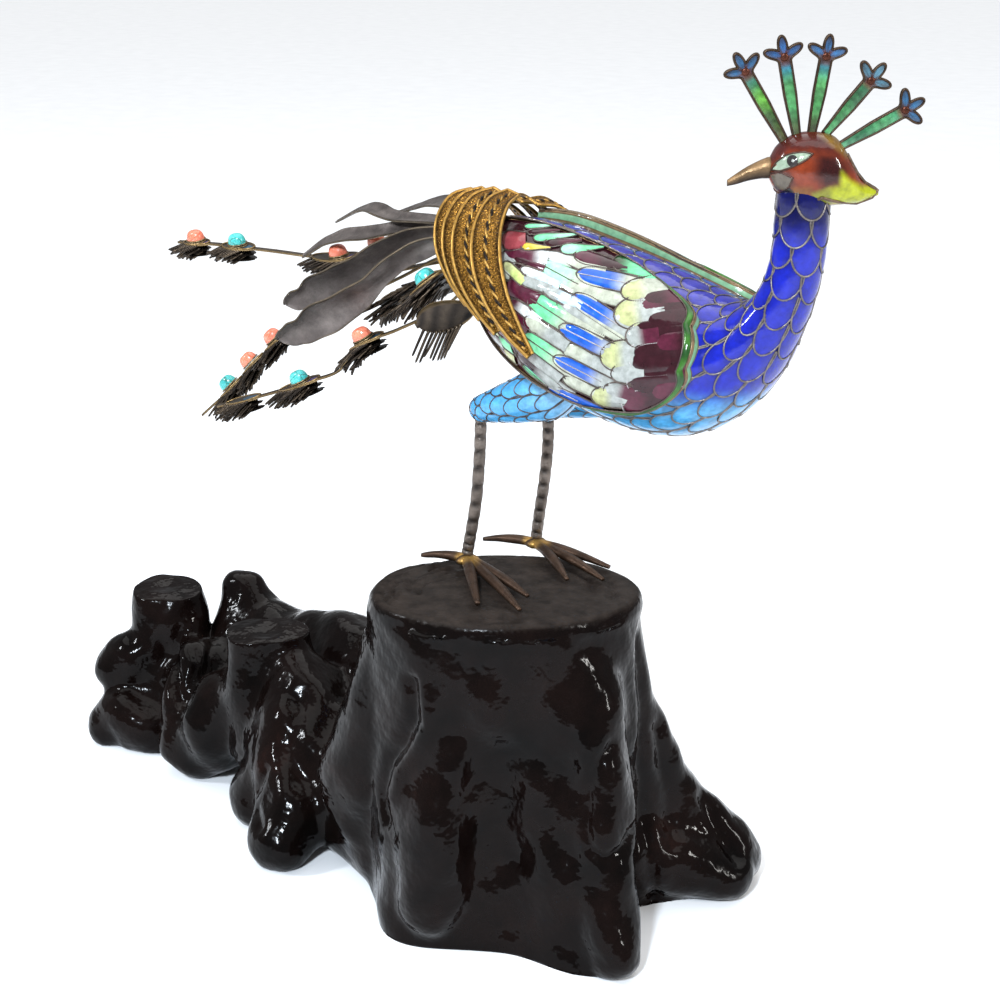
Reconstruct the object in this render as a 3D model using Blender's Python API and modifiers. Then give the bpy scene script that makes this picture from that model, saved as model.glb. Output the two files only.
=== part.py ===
import math

import bmesh
import bpy
import numpy as np
from mathutils import Matrix, Vector

# A peacock in enamelled metal standing on a carved wood stump.
# Metres. The origin is first put on the table under the stump's axis, X is the way the body faces,
# Y the bird's left and Z up. The last lines move everything to the middle of the whole thing's box.

MM = 0.001
GAP = 0.3 * MM

# Driving dimensions
STUMP_HEIGHT = 58.0 * MM
MIDLINE = 10.0 * MM
VIEW_ANGLE = math.radians(42.0)
# The rows below are drawn for this stump and this midline; the wood's heights follow STUMP_HEIGHT, and the
# bird as a whole follows both.
DRAWN_STUMP = 58.0 * MM
DRAWN_MIDLINE = 10.0 * MM
WOOD_STRETCH = STUMP_HEIGHT / DRAWN_STUMP


def mm(*values):
    return Vector([v * MM for v in values])


def clear_scene():
    for old in list(bpy.data.objects):
        bpy.data.objects.remove(old, do_unlink=True)


def new_collection(name):
    made = bpy.data.collections.new(name)
    bpy.context.scene.collection.children.link(made)
    return made


clear_scene()
PARTS = new_collection("peacock_figurine")
CUTTERS = new_collection("cutters")


def material(name, color, metallic, roughness):
    mat = bpy.data.materials.new(name)
    mat.use_nodes = True
    shader = mat.node_tree.nodes["Principled BSDF"]
    shader.inputs["Base Color"].default_value = (color[0], color[1], color[2], 1.0)
    shader.inputs["Metallic"].default_value = metallic
    shader.inputs["Roughness"].default_value = roughness
    mat.diffuse_color = (color[0], color[1], color[2], 1.0)
    return mat


def add_object(name, bm, mat, smooth=True):
    mesh = bpy.data.meshes.new(name)
    bmesh.ops.recalc_face_normals(bm, faces=bm.faces[:])
    bm.to_mesh(mesh)
    bm.free()
    obj = bpy.data.objects.new(name, mesh)
    mesh.materials.append(mat)
    for poly in mesh.polygons:
        poly.use_smooth = smooth
    PARTS.objects.link(obj)
    return obj


def as_cutter(obj):
    PARTS.objects.unlink(obj)
    CUTTERS.objects.link(obj)
    obj.hide_render = True
    obj.display_type = "WIRE"
    return obj


def cut(obj, cutter):
    mod = obj.modifiers.new("cut", "BOOLEAN")
    mod.operation = "DIFFERENCE"
    mod.solver = "EXACT"
    mod.object = cutter
    return mod


def spline(rows, t):
    """A smooth curve through the rows, t counted in rows."""
    last = len(rows) - 1
    i = min(max(int(math.floor(t)), 0), last - 1)
    f = min(max(t - i, 0.0), 1.0)
    p1 = np.array(rows[i], dtype=float)
    p2 = np.array(rows[i + 1], dtype=float)
    p0 = np.array(rows[i - 1], dtype=float) if i > 0 else 2 * p1 - p2
    p3 = np.array(rows[i + 2], dtype=float) if i + 2 <= last else 2 * p2 - p1
    a = 2 * p1
    b = p2 - p0
    c = 2 * p0 - 5 * p1 + 4 * p2 - p3
    d = -p0 + 3 * p1 - 3 * p2 + p3
    return 0.5 * (a + b * f + c * f * f + d * f * f * f)


def skin_rings(bm, rings, close_start=True, close_end=True):
    """Join closed rings of equal count with quads, and close the ends with a fan to a middle point."""
    loops = [[bm.verts.new(p) for p in ring] for ring in rings]
    count = len(loops[0])
    for a, b in zip(loops, loops[1:]):
        for k in range(count):
            n = (k + 1) % count
            bm.faces.new((a[k], a[n], b[n], b[k]))
    for loop, wanted in ((loops[0], close_start), (loops[-1], close_end)):
        if wanted:
            middle = bm.verts.new(sum((v.co for v in loop), Vector()) / count)
            for k in range(count):
                bm.faces.new((loop[k], loop[(k + 1) % count], middle))


def tube_rings(path, radii, sides, squash=1.0):
    """Round sections square to a path."""
    rings = []
    side = None
    for i, p in enumerate(path):
        ahead = path[min(i + 1, len(path) - 1)] - path[max(i - 1, 0)]
        ahead = ahead.normalized()
        if side is None:
            start = Vector((0, 0, 1)) if abs(ahead.z) < 0.9 else Vector((1, 0, 0))
            side = ahead.cross(start).normalized()
        side = (side - ahead * side.dot(ahead)).normalized()
        other = ahead.cross(side)
        ring = []
        for k in range(sides):
            a = 2 * math.pi * k / sides
            ring.append(p + (side * math.cos(a) + other * math.sin(a) * squash) * radii[i])
        rings.append(ring)
    return rings


def add_tube(bm, path, radii, sides=8, squash=1.0):
    skin_rings(bm, tube_rings(path, radii, sides, squash))


# Materials
WOOD = material("lacquered_wood", (0.012, 0.006, 0.004), 0.0, 0.18)
BLUE = material("cobalt_enamel", (0.01, 0.03, 0.45), 0.0, 0.15)
SKY = material("sky_enamel", (0.08, 0.33, 0.62), 0.0, 0.15)
RED = material("head_enamel", (0.30, 0.05, 0.02), 0.0, 0.2)
GREEN = material("crest_enamel", (0.05, 0.25, 0.2), 0.0, 0.2)
WING = material("wing_enamel", (0.35, 0.45, 0.38), 0.0, 0.2)
BRONZE = material("bronze", (0.14, 0.08, 0.04), 1.0, 0.45)
DARK = material("dark_silver", (0.10, 0.09, 0.085), 1.0, 0.5)
GILT = material("gilt_silver", (0.55, 0.32, 0.09), 1.0, 0.35)
CORAL = material("coral", (0.75, 0.19, 0.12), 0.0, 0.3)
TURQUOISE = material("turquoise", (0.06, 0.42, 0.38), 0.0, 0.3)

# Body and neck, one hollow piece.
# Each row: where the section meets the back (x, z), where it meets the breast (x, z), half its width.
BODY_ROWS = [
    (-15.5, 117.6, -12.3, 106.0, 5.8),
    (-8.0, 118.9, -5.0, 98.8, 9.4),
    (2.0, 118.8, 4.5, 93.4, 12.5),
    (12.0, 117.2, 14.0, 90.7, 14.2),
    (21.5, 115.3, 23.7, 89.6, 14.3),
    (29.6, 113.2, 32.2, 90.9, 13.2),
    (35.4, 111.9, 38.8, 95.2, 10.9),
    (39.4, 112.2, 43.8, 101.4, 8.3),
    (42.0, 114.4, 47.3, 108.2, 6.0),
    (43.5, 118.0, 49.7, 114.6, 4.5),
    (44.0, 122.5, 50.9, 121.0, 3.75),
    (44.0, 127.0, 51.2, 127.2, 3.6),
    (44.1, 130.3, 51.1, 130.3, 3.5),
]
BODY_LAST = len(BODY_ROWS) - 1


def body_point(t, phi, lift=0.0):
    """Point on the body: t runs from the tail end to the neck's top, phi from the back round to the left."""
    tx, tz, bx, bz, half = (float(v) * MM for v in spline(BODY_ROWS, t))
    top = Vector((tx, 0.0, tz))
    bottom = Vector((bx, 0.0, bz))
    middle = (top + bottom) / 2
    up = (top - bottom) / 2
    tall = up.length
    up = up.normalized()
    side = Vector((0.0, 1.0, 0.0))
    p = middle + up * math.cos(phi) * (tall + lift) + side * math.sin(phi) * (half + lift)
    return p + Vector((0.0, DRAWN_MIDLINE, 0.0))


def body_solid(name, mat, steps, sides, lift=0.0):
    bm = bmesh.new()
    rings = []
    for i in range(steps + 1):
        t = BODY_LAST * i / steps
        rings.append([body_point(t, 2 * math.pi * k / sides, lift) for k in range(sides)])
    skin_rings(bm, rings)
    return add_object(name, bm, mat)


body = body_solid("body", BLUE, 22, 16)


# Stand: the lobes are joined, grown into one skin, smoothed, and cut flat below.
STUMP_MIDDLE = mm(-0.6, 0.5, 0)
STUMP_TOP_LONG = 23.4 * MM
STUMP_TOP_SHORT = 16.5 * MM
STUMP_CORE = 21.5 * MM
# Each flare: direction in degrees from the way the body faces, reach past the core, half width in degrees,
# and how soon it flares (a large number keeps the flare near the ground).
ROOTS = [
    (-97, 5.0, 22, 1.3),
    (-18, 11.0, 17, 1.9),
    (43, 17.0, 16, 3.4),
    (96, 14.5, 22, 1.8),
    (150, 9.0, 24, 1.6),
    (-140, 3.0, 18, 1.0),
]


def angle_between(a, b):
    return (a - b + 180) % 360 - 180


def stump_radius(degrees, z):
    """Distance of the stump's side from its axis."""
    down = 1 - z / STUMP_HEIGHT
    turn = math.radians(degrees) - VIEW_ANGLE
    top = 1 / math.sqrt((math.cos(turn) / STUMP_TOP_LONG) ** 2 + (math.sin(turn) / STUMP_TOP_SHORT) ** 2)
    r = top + (STUMP_CORE - top) * down
    for direction, reach, width, power in ROOTS:
        away = angle_between(degrees, direction) / width
        r += reach * MM * math.exp(-away * away) * (0.10 * math.sin(math.pi * down) + max(down, 0) ** power)
    return r


def stump(bm):
    rings = []
    levels = 22
    count = 72
    for i in range(levels + 1):
        z = -3 * MM + (STUMP_HEIGHT + 3 * MM) * i / levels
        ring = []
        for k in range(count):
            degrees = 360 * k / count
            r = stump_radius(degrees, max(z, 0.0))
            a = math.radians(degrees)
            ring.append(STUMP_MIDDLE + Vector((r * math.cos(a), r * math.sin(a), z)))
        rings.append(ring)
    skin_rings(bm, rings)


# Roots and ridges on the stump, then the low wood behind it: rows of (x, y, z, radius).
RIDGES = [
    [(1, -6, 48, 7), (1, -12.5, 34, 8), (1.5, -17.5, 20, 8), (1.5, -20.5, 7, 6.5)],
    [(-14, -9.6, 46.5, 8.2), (-17, -11, 33, 9), (-21, -12, 20, 10), (-19, -12, 12, 8)],
    [(13, 2, 50, 6.5), (17.5, 0.5, 42, 6.5), (21.5, -1.5, 28, 6), (25.5, -4.5, 14, 5.8), (31, -7.6, 4.0, 5)],
    [(7, 7, 46, 7), (11.2, 12.6, 37, 7), (15.2, 18.0, 27, 7), (19, 22.6, 15, 7), (29.2, 30.2, 4.4, 5.2)],
    [(18, 14, 9, 8), (25, 20, 6, 6.5), (31.5, 24.5, 3.5, 4.6)],
    [(-10, 10, 46, 9), (-13, 16, 28, 10), (-15, 24, 12, 9), (-17, 30, 4, 6)],
    [(3, 15, 44, 8), (4, 24, 26, 7), (5, 31, 12, 6.5), (6, 36, 3, 5)],
    [(-16, -4, 8, 15), (-30, -3, 10, 14), (-46, 0, 12, 13), (-60, 2, 11, 12), (-78, 4, 9, 11), (-90, 5, 8, 9)],
    [(-57, -3, 12, 11), (-60, -6.5, 22, 6.6), (-61, -5.8, 38, 4.6)],
    [(-57, -3, 12, 11), (-57, -1, 22, 7), (-57, -2.2, 38, 4.8)],
    [(-52, -3, 25, 7), (-46, -7, 18, 9.5), (-40, -14, 10, 8.5), (-36.5, -21.5, 4, 6.4)],
    [(-50, -2, 18, 11), (-48, -9, 9, 10), (-51, -13, 4, 7)],
    [(-62, -4, 20, 8), (-69, -7, 13, 8.5), (-74, -9.5, 6, 7.5)],
    [(-92, -2, 10, 9), (-95, -1, 20, 7.4), (-98.5, 0.2, 36, 4.6)],
    [(-92, -2, 10, 9), (-94, 0, 20, 7.4), (-96, 2.4, 36, 4.6)],
    [(-94, -2, 16, 6.5), (-99.5, -6.5, 15.5, 6.6), (-101.5, -9.5, 14, 5.6)],
    [(-90, -8, 4, 7), (-97, -12, 5, 6.8), (-99.5, -14.5, 3.5, 5.2)],
    [(-82, 2, 14, 7), (-83, -3, 19, 5.2), (-80, -9, 12, 5), (-78, -11.5, 6, 5)],
    [(-82, 10, 10, 11), (-84, 13, 20, 9), (-87, 14, 28.5, 5)],
    [(-80, 13, 20, 8), (-68, 14, 21, 8), (-56, 14, 24, 8), (-42, 12, 24, 8), (-26, 9, 24, 9)],
    [(-90, 8, 8, 9), (-99, 13, 5, 6)],
    [(-70, 16, 8, 11), (-74, 27, 4, 7)],
    [(-44, 12, 10, 14), (-42, 26, 4, 8)],
]
# Sawn stubs: the flat top's middle (x, y, z) and the cutter's radius
STUBS = [(-97.3, 1.2, 31.0, 11.0), (-59.0, -4.0, 34.0, 12.0)]
STUB_TILT = math.radians(5.0)

stand_bm = bmesh.new()
stump(stand_bm)
for rows in RIDGES:
    steps = 5 * (len(rows) - 1)
    samples = [spline(rows, (len(rows) - 1) * i / steps) for i in range(steps + 1)]
    path = [mm(s[0], s[1], s[2] * WOOD_STRETCH) for s in samples]
    radii = [s[3] * MM for s in samples]
    for end, inner in ((0, 1), (-1, -2)):
        out = (path[end] - path[inner]).normalized() * radii[end]
        caps = [(path[end] + out * 0.55, radii[end] * 0.83), (path[end] + out * 0.9, radii[end] * 0.42)]
        for spot, radius in caps:
            if end == 0:
                path.insert(0, spot)
                radii.insert(0, radius)
                inner = 0
            else:
                path.append(spot)
                radii.append(radius)
    add_tube(stand_bm, path, radii, 16)
stand = add_object("stand", stand_bm, WOOD)
floor_bm = bmesh.new()
below = Matrix.Translation(mm(-30, 0, -20)) @ Matrix.Diagonal((0.4, 0.4, 0.04, 1))
bmesh.ops.create_cube(floor_bm, size=1.0, matrix=below)
below_table = as_cutter(add_object("below_table", floor_bm, WOOD))
grow = stand.modifiers.new("one_skin", "REMESH")
grow.mode = "VOXEL"
grow.voxel_size = 1.1 * MM
soften = stand.modifiers.new("soften", "SMOOTH")
soften.factor = 0.5
soften.iterations = 10
for number, (x, y, z, radius) in enumerate(STUBS, 1):
    saw_bm = bmesh.new()
    tilt = Matrix.Rotation(STUB_TILT, 4, Vector((math.cos(VIEW_ANGLE), math.sin(VIEW_ANGLE), 0.0)))
    base = [tilt @ Vector((radius * MM * math.cos(a), radius * MM * math.sin(a), 0)) for a in
            (2 * math.pi * k / 12 for k in range(12))]
    up = tilt @ Vector((0, 0, 14 * MM))
    middle = mm(x, y, z * WOOD_STRETCH)
    skin_rings(saw_bm, [[middle + p for p in base], [middle + p + up for p in base]])
    cut(stand, as_cutter(add_object("saw_cut_%d" % number, saw_bm, WOOD)))
thin = stand.modifiers.new("thin", "DECIMATE")
thin.ratio = 0.0203
cut(stand, below_table)


# Head, beak and crest lie in one upright plane, square to the photo's view.
HEAD_SPOT = Vector((47.6 * MM, DRAWN_MIDLINE, 0.0))
HEAD_BACK = Vector((math.cos(VIEW_ANGLE), math.sin(VIEW_ANGLE), 0.0))
HEAD_SIDE = Vector((math.sin(VIEW_ANGLE), -math.cos(VIEW_ANGLE), 0.0))
HEAD_SLICES = [
    (-5.0, 134.6, 131.4, 1.4),
    (-4.2, 136.0, 130.0, 2.7),
    (-2.9, 137.1, 128.9, 3.7),
    (-1.0, 137.9, 128.0, 4.5),
    (1.5, 138.0, 127.6, 4.9),
    (4.0, 137.3, 127.7, 4.6),
    (6.0, 134.8, 127.9, 3.7),
    (7.6, 131.9, 128.1, 2.6),
    (9.0, 130.6, 128.6, 1.6),
    (10.5, 129.9, 129.1, 0.6),
]


def head_place(back, z, side=0.0):
    return HEAD_SPOT + HEAD_BACK * back * MM + HEAD_SIDE * side * MM + Vector((0, 0, z * MM))


def head_point(t, phi, lift=0.0):
    back, top, low, half = spline(HEAD_SLICES, t)
    tall = (top - low) / 2 + lift
    return head_place(back, (top + low) / 2 + tall * math.cos(phi), (half + lift) * math.sin(phi))


def head_top(back):
    for i in range(200):
        t = (len(HEAD_SLICES) - 1) * i / 200
        row = spline(HEAD_SLICES, t)
        if row[0] >= back:
            return row[1]
    return HEAD_SLICES[-1][1]


head_bm = bmesh.new()
head_steps = 11
head_sides = 14
head_rings = []
for i in range(head_steps + 1):
    t = (len(HEAD_SLICES) - 1) * i / head_steps
    head_rings.append([head_point(t, 2 * math.pi * k / head_sides) for k in range(head_sides)])
skin_rings(head_bm, head_rings)
head = add_object("head", head_bm, RED)
socket_bm = bmesh.new()
SOCKET_RADIUS = 4.0 * MM
add_tube(socket_bm, [mm(47.6, 10, 124), mm(47.6, 10, 127.5), mm(47.6, 10, 130.6)], [SOCKET_RADIUS] * 3, 12)
cut(head, as_cutter(add_object("neck_socket", socket_bm, RED)))

beak_bm = bmesh.new()
BEAK_SLICES = [
    (-5.3, 133.0, 1.5, 1.35),
    (-6.4, 132.75, 1.3, 1.2),
    (-8.0, 132.2, 1.05, 0.9),
    (-9.6, 131.45, 0.78, 0.65),
    (-10.9, 130.85, 0.45, 0.4),
]
beak_rings = []
for back, z, tall, half in BEAK_SLICES:
    ring = []
    for k in range(10):
        a = 2 * math.pi * k / 10
        ring.append(head_place(back, z + tall * math.cos(a), half * math.sin(a)))
    beak_rings.append(ring)
skin_rings(beak_bm, beak_rings)
add_object("beak", beak_bm, BRONZE)

# Crest: each plume is a strip with three petals. Rows: foot (back, height is the crown's) and fork (back, z).
PLUME_THICK = 0.9
PLUME_HALF = 1.0
PLUME_FOOT_HALF = 0.7
FORK_REACH = 1.15
PETAL_REACH = 3.05
PETAL_TURN = 66
CREST = [
    (-3.4, -9.1, 146.2),
    (-1.6, -3.8, 148.2),
    (0.7, 2.0, 148.3),
    (3.0, 8.4, 145.0),
    (5.2, 13.5, 141.0),
]


def trefoil_reach(degrees):
    """Distance from the fork to the three-petal end's edge."""
    best = 0.0
    for turn in (-PETAL_TURN, 0, PETAL_TURN):
        away = angle_between(degrees, turn)
        best = max(best, math.exp(-(away / 21.0) ** 2))
    return FORK_REACH + (PETAL_REACH - FORK_REACH) * best


def crest_outline(foot, fork):
    """Outline in the head's plane, as (back, z) points going round."""
    along = Vector((fork[0] - foot[0], fork[1] - foot[1]))
    length = along.length
    along = along.normalized()
    across = Vector((along.y, -along.x))
    points = []
    points.append((0.0, -PLUME_FOOT_HALF))
    points.append((length * 0.5, -PLUME_HALF))
    start = 180 - math.degrees(math.asin(PLUME_HALF / FORK_REACH))
    count = 20
    for i in range(count + 1):
        degrees = -start + 2 * start * i / count
        reach = trefoil_reach(degrees)
        a = math.radians(degrees)
        points.append((length + reach * math.cos(a), reach * math.sin(a)))
    points.append((length * 0.5, PLUME_HALF))
    points.append((0.0, PLUME_FOOT_HALF))
    return [Vector(foot) + along * u + across * v for u, v in points]


def crest_foot(foot_back, fork_back, fork_z):
    """The foot's middle, so that its lower corner clears the head by the gap."""
    crown = head_top(foot_back)
    along = Vector((fork_back - foot_back, fork_z - crown)).normalized()
    dips = []
    for way in (-PLUME_FOOT_HALF, PLUME_FOOT_HALF):
        corner = (foot_back + along.y * way, crown - along.x * way)
        dips.append(head_top(corner[0]) - corner[1])
    return foot_back, crown + max(dips) + GAP / MM


def crest_plume(number, foot_back, fork_back, fork_z):
    foot = crest_foot(foot_back, fork_back, fork_z)
    outline = crest_outline(foot, (fork_back, fork_z))
    bm = bmesh.new()
    verts = [bm.verts.new(head_place(p.x, p.y, -PLUME_THICK / 2)) for p in outline]
    face = bm.faces.new(verts)
    out = bmesh.ops.extrude_face_region(bm, geom=[face])
    moved = [g for g in out["geom"] if isinstance(g, bmesh.types.BMVert)]
    bmesh.ops.translate(bm, verts=moved, vec=HEAD_SIDE * PLUME_THICK * MM)
    bmesh.ops.triangulate(bm, faces=[f for f in bm.faces if len(f.verts) > 4])
    return add_object("crest_plume_%d" % number, bm, GREEN, smooth=False)


for number, (foot_back, fork_back, fork_z) in enumerate(CREST, 1):
    crest_plume(number, foot_back, fork_back, fork_z)

# Wings: plates over the body's sides, with a lobed front border.
WING_LIFT = 0.7
WING_THICK = 1.0
WING_FRONT = 6.05
WING_REAR = 0.95


def wing_map(u, v):
    """u from the rear to the front border, v from the top edge to the lower edge; gives t and phi in degrees."""
    top = -13 - 7 * (2 * u - 1) ** 2
    low = -128 + 10 * u
    lobes = 0.16 * abs(math.sin(math.pi * (0.15 + 2.7 * v)))
    bow = 1.0 - (2 * v - 1) ** 4 * 0.32
    t = WING_REAR + (WING_FRONT - WING_REAR) * u * bow + lobes * u ** 6
    t += 0.35 * (1 - u) * (2 * v - 1) ** 2
    return t, top + (low - top) * v


def wing_point(u, v, lift, mirror=False):
    t, phi = wing_map(u, v)
    edge = max(0.0, 1 - v / 0.18) * (0.7 if mirror else 0.0) * math.sin(math.pi * min(1.0, u * 1.1))
    p = body_point(t, math.radians(phi), (lift + edge) * MM)
    if mirror:
        p.y = 2 * DRAWN_MIDLINE - p.y
    return p


def wing(name, mirror):
    bm = bmesh.new()
    across, along = 6, 12
    grids = []
    for lift in (WING_LIFT, WING_LIFT + WING_THICK):
        grid = []
        for i in range(along + 1):
            row = []
            for j in range(across + 1):
                row.append(bm.verts.new(wing_point(i / along, j / across, lift, mirror)))
            grid.append(row)
        grids.append(grid)
    for grid in grids:
        for i in range(along):
            for j in range(across):
                bm.faces.new((grid[i][j], grid[i + 1][j], grid[i + 1][j + 1], grid[i][j + 1]))
    low, high = grids
    border = [(i, 0) for i in range(along)] + [(along, j) for j in range(across)]
    border += [(i, across) for i in range(along, 0, -1)] + [(0, j) for j in range(across, 0, -1)]
    for (i, j), (k, m) in zip(border, border[1:] + border[:1]):
        bm.faces.new((low[i][j], low[k][m], high[k][m], high[i][j]))
    return add_object(name, bm, WING)


wing("wing_right", False)
wing("wing_left", True)

# Thighs: cones leaning back from the belly, cut clear of the body.
THIGH_RIGHT = [
    (14.0, 6.0, 97.0, 6.0),
    (8.0, 4.6, 94.2, 5.0),
    (1.0, 3.4, 91.2, 3.7),
    (-5.5, 3.0, 88.7, 2.5),
    (-8.8, 3.0, 87.5, 1.8),
]
THIGH_CLEARANCE = (WING_LIFT + WING_THICK) * MM + 2 * GAP
clear_body = as_cutter(body_solid("body_clearance", BLUE, 23, 16, THIGH_CLEARANCE))


def thigh(name, shift):
    bm = bmesh.new()
    path = [mm(x + shift[0], y + shift[1], z + shift[2]) for x, y, z, r in THIGH_RIGHT]
    radii = [row[3] * MM for row in THIGH_RIGHT]
    path.append(path[-1] + (path[-1] - path[-2]).normalized() * 1.0 * MM)
    radii.append(0.9 * MM)
    add_tube(bm, path, radii, 11)
    obj = add_object(name, bm, SKY)
    cut(obj, clear_body)
    return obj


LEG_SPREAD = 14.0
thigh("thigh_right", (0, 0, 0))
thigh("thigh_left", (2.9, LEG_SPREAD + 0.4, -1.9))

# Legs: notched wire. Rows run from the thigh down to the foot.
LEG_RIGHT = [
    (-8.4, 3.0, 85.3),
    (-8.7, 3.0, 79.4),
    (-9.5, 3.0, 71.4),
    (-10.9, 3.0, 64.4),
    (-11.7, 3.0, 60.8),
]
LEG_LEFT = [
    (-5.4, 17.0, 83.3),
    (-5.4, 17.0, 78.5),
    (-6.1, 17.0, 72.0),
    (-7.1, 17.0, 66.0),
    (-7.9, 17.0, 60.8),
]
LEG_RADIUS = 1.05 * MM
NOTCHES = 12


def leg(name, rows):
    bm = bmesh.new()
    path = []
    radii = []
    steps = NOTCHES * 2
    sides = 6
    for i in range(steps + 1):
        path.append(mm(*spline(rows, (len(rows) - 1) * i / steps)))
        radii.append(LEG_RADIUS * (0.84 if i % 2 and 2 < i else 1.0))
    add_tube(bm, path, radii, sides)
    return add_object(name, bm, DARK)


leg("leg_right", LEG_RIGHT)
leg("leg_left", LEG_LEFT)

# Feet: four tapered toes from a soldered knob.
TOES_RIGHT = [(13.4, -11.9), (20.2, -9.1), (17.4, -3.9), (-8.6, -2.6)]
TOES_LEFT = [(13.9, -8.0), (18.5, -3.9), (15.8, 1.2), (-9.6, -3.5)]


def foot(name, ankle, toes):
    bm = bmesh.new()
    knob = mm(ankle[0], ankle[1], 59.5)
    heights = (-0.9, 0.0, 0.5)
    add_tube(bm, [knob + mm(0, 0, h) for h in heights], [1.5 * MM, 1.9 * MM, 1.4 * MM], 12)
    for dx, dy in toes:
        tip = mm(ankle[0] + dx, ankle[1] + dy, 58.75)
        path = [knob.lerp(tip, f) for f in (0.0, 0.3, 0.65, 1.0)]
        path[1].z += 0.4 * MM
        path[2].z += 0.4 * MM
        add_tube(bm, path, [1.15 * MM, 1.0 * MM, 0.85 * MM, 0.4 * MM], 8, 0.8)
    obj = add_object(name, bm, BRONZE)
    skin = obj.modifiers.new("one_skin", "REMESH")
    skin.mode = "VOXEL"
    skin.voxel_size = 0.3 * MM
    fewer = obj.modifiers.new("thin", "DECIMATE")
    fewer.ratio = 0.036
    return obj


foot("foot_right", LEG_RIGHT[-1], TOES_RIGHT)
foot("foot_left", LEG_LEFT[-1], TOES_LEFT)


# Thin metal: a surface given by u along and v across (-1 to 1), thickened to both sides.
def plate(name, mat, point, steps, across, thickness, smooth=True):
    bm = bmesh.new()

    def normal(u, v):
        du = point(min(u + 0.01, 1.0), v) - point(max(u - 0.01, 0.0), v)
        dv = point(u, min(v + 0.02, 1.0)) - point(u, max(v - 0.02, -1.0))
        return du.cross(dv).normalized()

    grids = []
    for way in (-1, 1):
        grid = []
        for i in range(steps + 1):
            row = []
            for j in range(across + 1):
                u = i / steps
                v = 2 * j / across - 1
                off = normal(u, v) * way * thickness(u, v) / 2
                row.append(bm.verts.new(point(u, v) + off))
            grid.append(row)
        grids.append(grid)
        for i in range(steps):
            for j in range(across):
                bm.faces.new((grid[i][j], grid[i + 1][j], grid[i + 1][j + 1], grid[i][j + 1]))
    low, high = grids
    border = [(i, 0) for i in range(steps)] + [(steps, j) for j in range(across)]
    border += [(i, across) for i in range(steps, 0, -1)] + [(0, j) for j in range(across, 0, -1)]
    for (i, j), (k, m) in zip(border, border[1:] + border[:1]):
        bm.faces.new((low[i][j], low[k][m], high[k][m], high[i][j]))
    return add_object(name, bm, mat, smooth)


def ribbon_frame(rows, u, hint):
    """Point, half width, way along, way across and way out for a strip following the rows."""
    last = len(rows) - 1
    here = spline(rows, last * u)
    ahead = spline(rows, last * min(u + 0.02, 1.0))
    behind = spline(rows, last * max(u - 0.02, 0.0))
    along = mm(*(ahead[:3] - behind[:3])).normalized()
    across = (hint - along * hint.dot(along)).normalized()
    return mm(*here[:3]), here[3] * MM, along, across, along.cross(across)


# Gilt leaves round the tail base, standing up over the back and closing to a point on the flank.
# Rows run from the rounded top down to the tip: place along the body, degrees round from the back,
# height over the body and half width in mm. Each next leaf starts and ends a little further forward.
LEAF_ROWS = [
    (0.34, 9, 5.0, 1.2),
    (0.26, 26, 5.3, 2.0),
    (0.26, 45, 4.9, 2.4),
    (0.34, 62, 4.3, 2.4),
    (0.54, 76, 3.9, 2.0),
    (0.80, 87, 3.5, 1.4),
    (1.10, 96, 3.4, 0.5),
]
LEAF_STEP = 0.34
# The far side's leaves lie lower over the back, the front one the most.
LEAF_LOWER_LEFT = (1.8, 1.4, 0.95, 0.45, 0.1, 0.0, 0.0)
LEAF_DROP_LEFT = (0.35, 0.35, 0.35, 0.1, 0.1, 0.1, 0.1)
LEAF_LETTERS = "abcd"
LEAF_RIM = 1.0 * MM
LEAF_SHEET = 0.55 * MM


def leaf_thickness(u, v):
    return LEAF_RIM if abs(v) > 0.9 or abs(v) < 0.1 or u < 0.01 or u > 0.99 else LEAF_SHEET


def gilt_leaf(name, rows, mirror, across_steps):
    path = []
    for t, phi, lift, half in rows:
        p = body_point(t, -math.radians(phi), lift * MM)
        path.append((p.x / MM, p.y / MM, p.z / MM, half))

    def point(u, v):
        hint = Vector((1.0, 0.34 * min(u * 2, 1), -0.34 * (1 - u)))
        p, half, along, across, out = ribbon_frame(path, u, hint)
        q = p + across * half * v
        if mirror:
            q.y = 2 * DRAWN_MIDLINE - q.y
        return q
    return plate(name, GILT, point, 9, across_steps, leaf_thickness)


for k, letter in enumerate(LEAF_LETTERS):
    rows = []
    for i, (t, phi, lift, half) in enumerate(LEAF_ROWS):
        stretch = 1 + 0.3 * i / 6 + (0.4 * i / 6 if letter == "d" else 0.0)
        rows.append((t + LEAF_STEP * k * stretch, phi, lift, half))
    gilt_leaf("gilt_leaf_right_" + letter, rows, False, 4)
    lower = []
    for (t, phi, lift, half), low, drop in zip(rows, LEAF_LOWER_LEFT, LEAF_DROP_LEFT):
        lower.append((t, phi, lift - low - drop * k / 3, half))
    gilt_leaf("gilt_leaf_left_" + letter, lower, True, 2)

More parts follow.
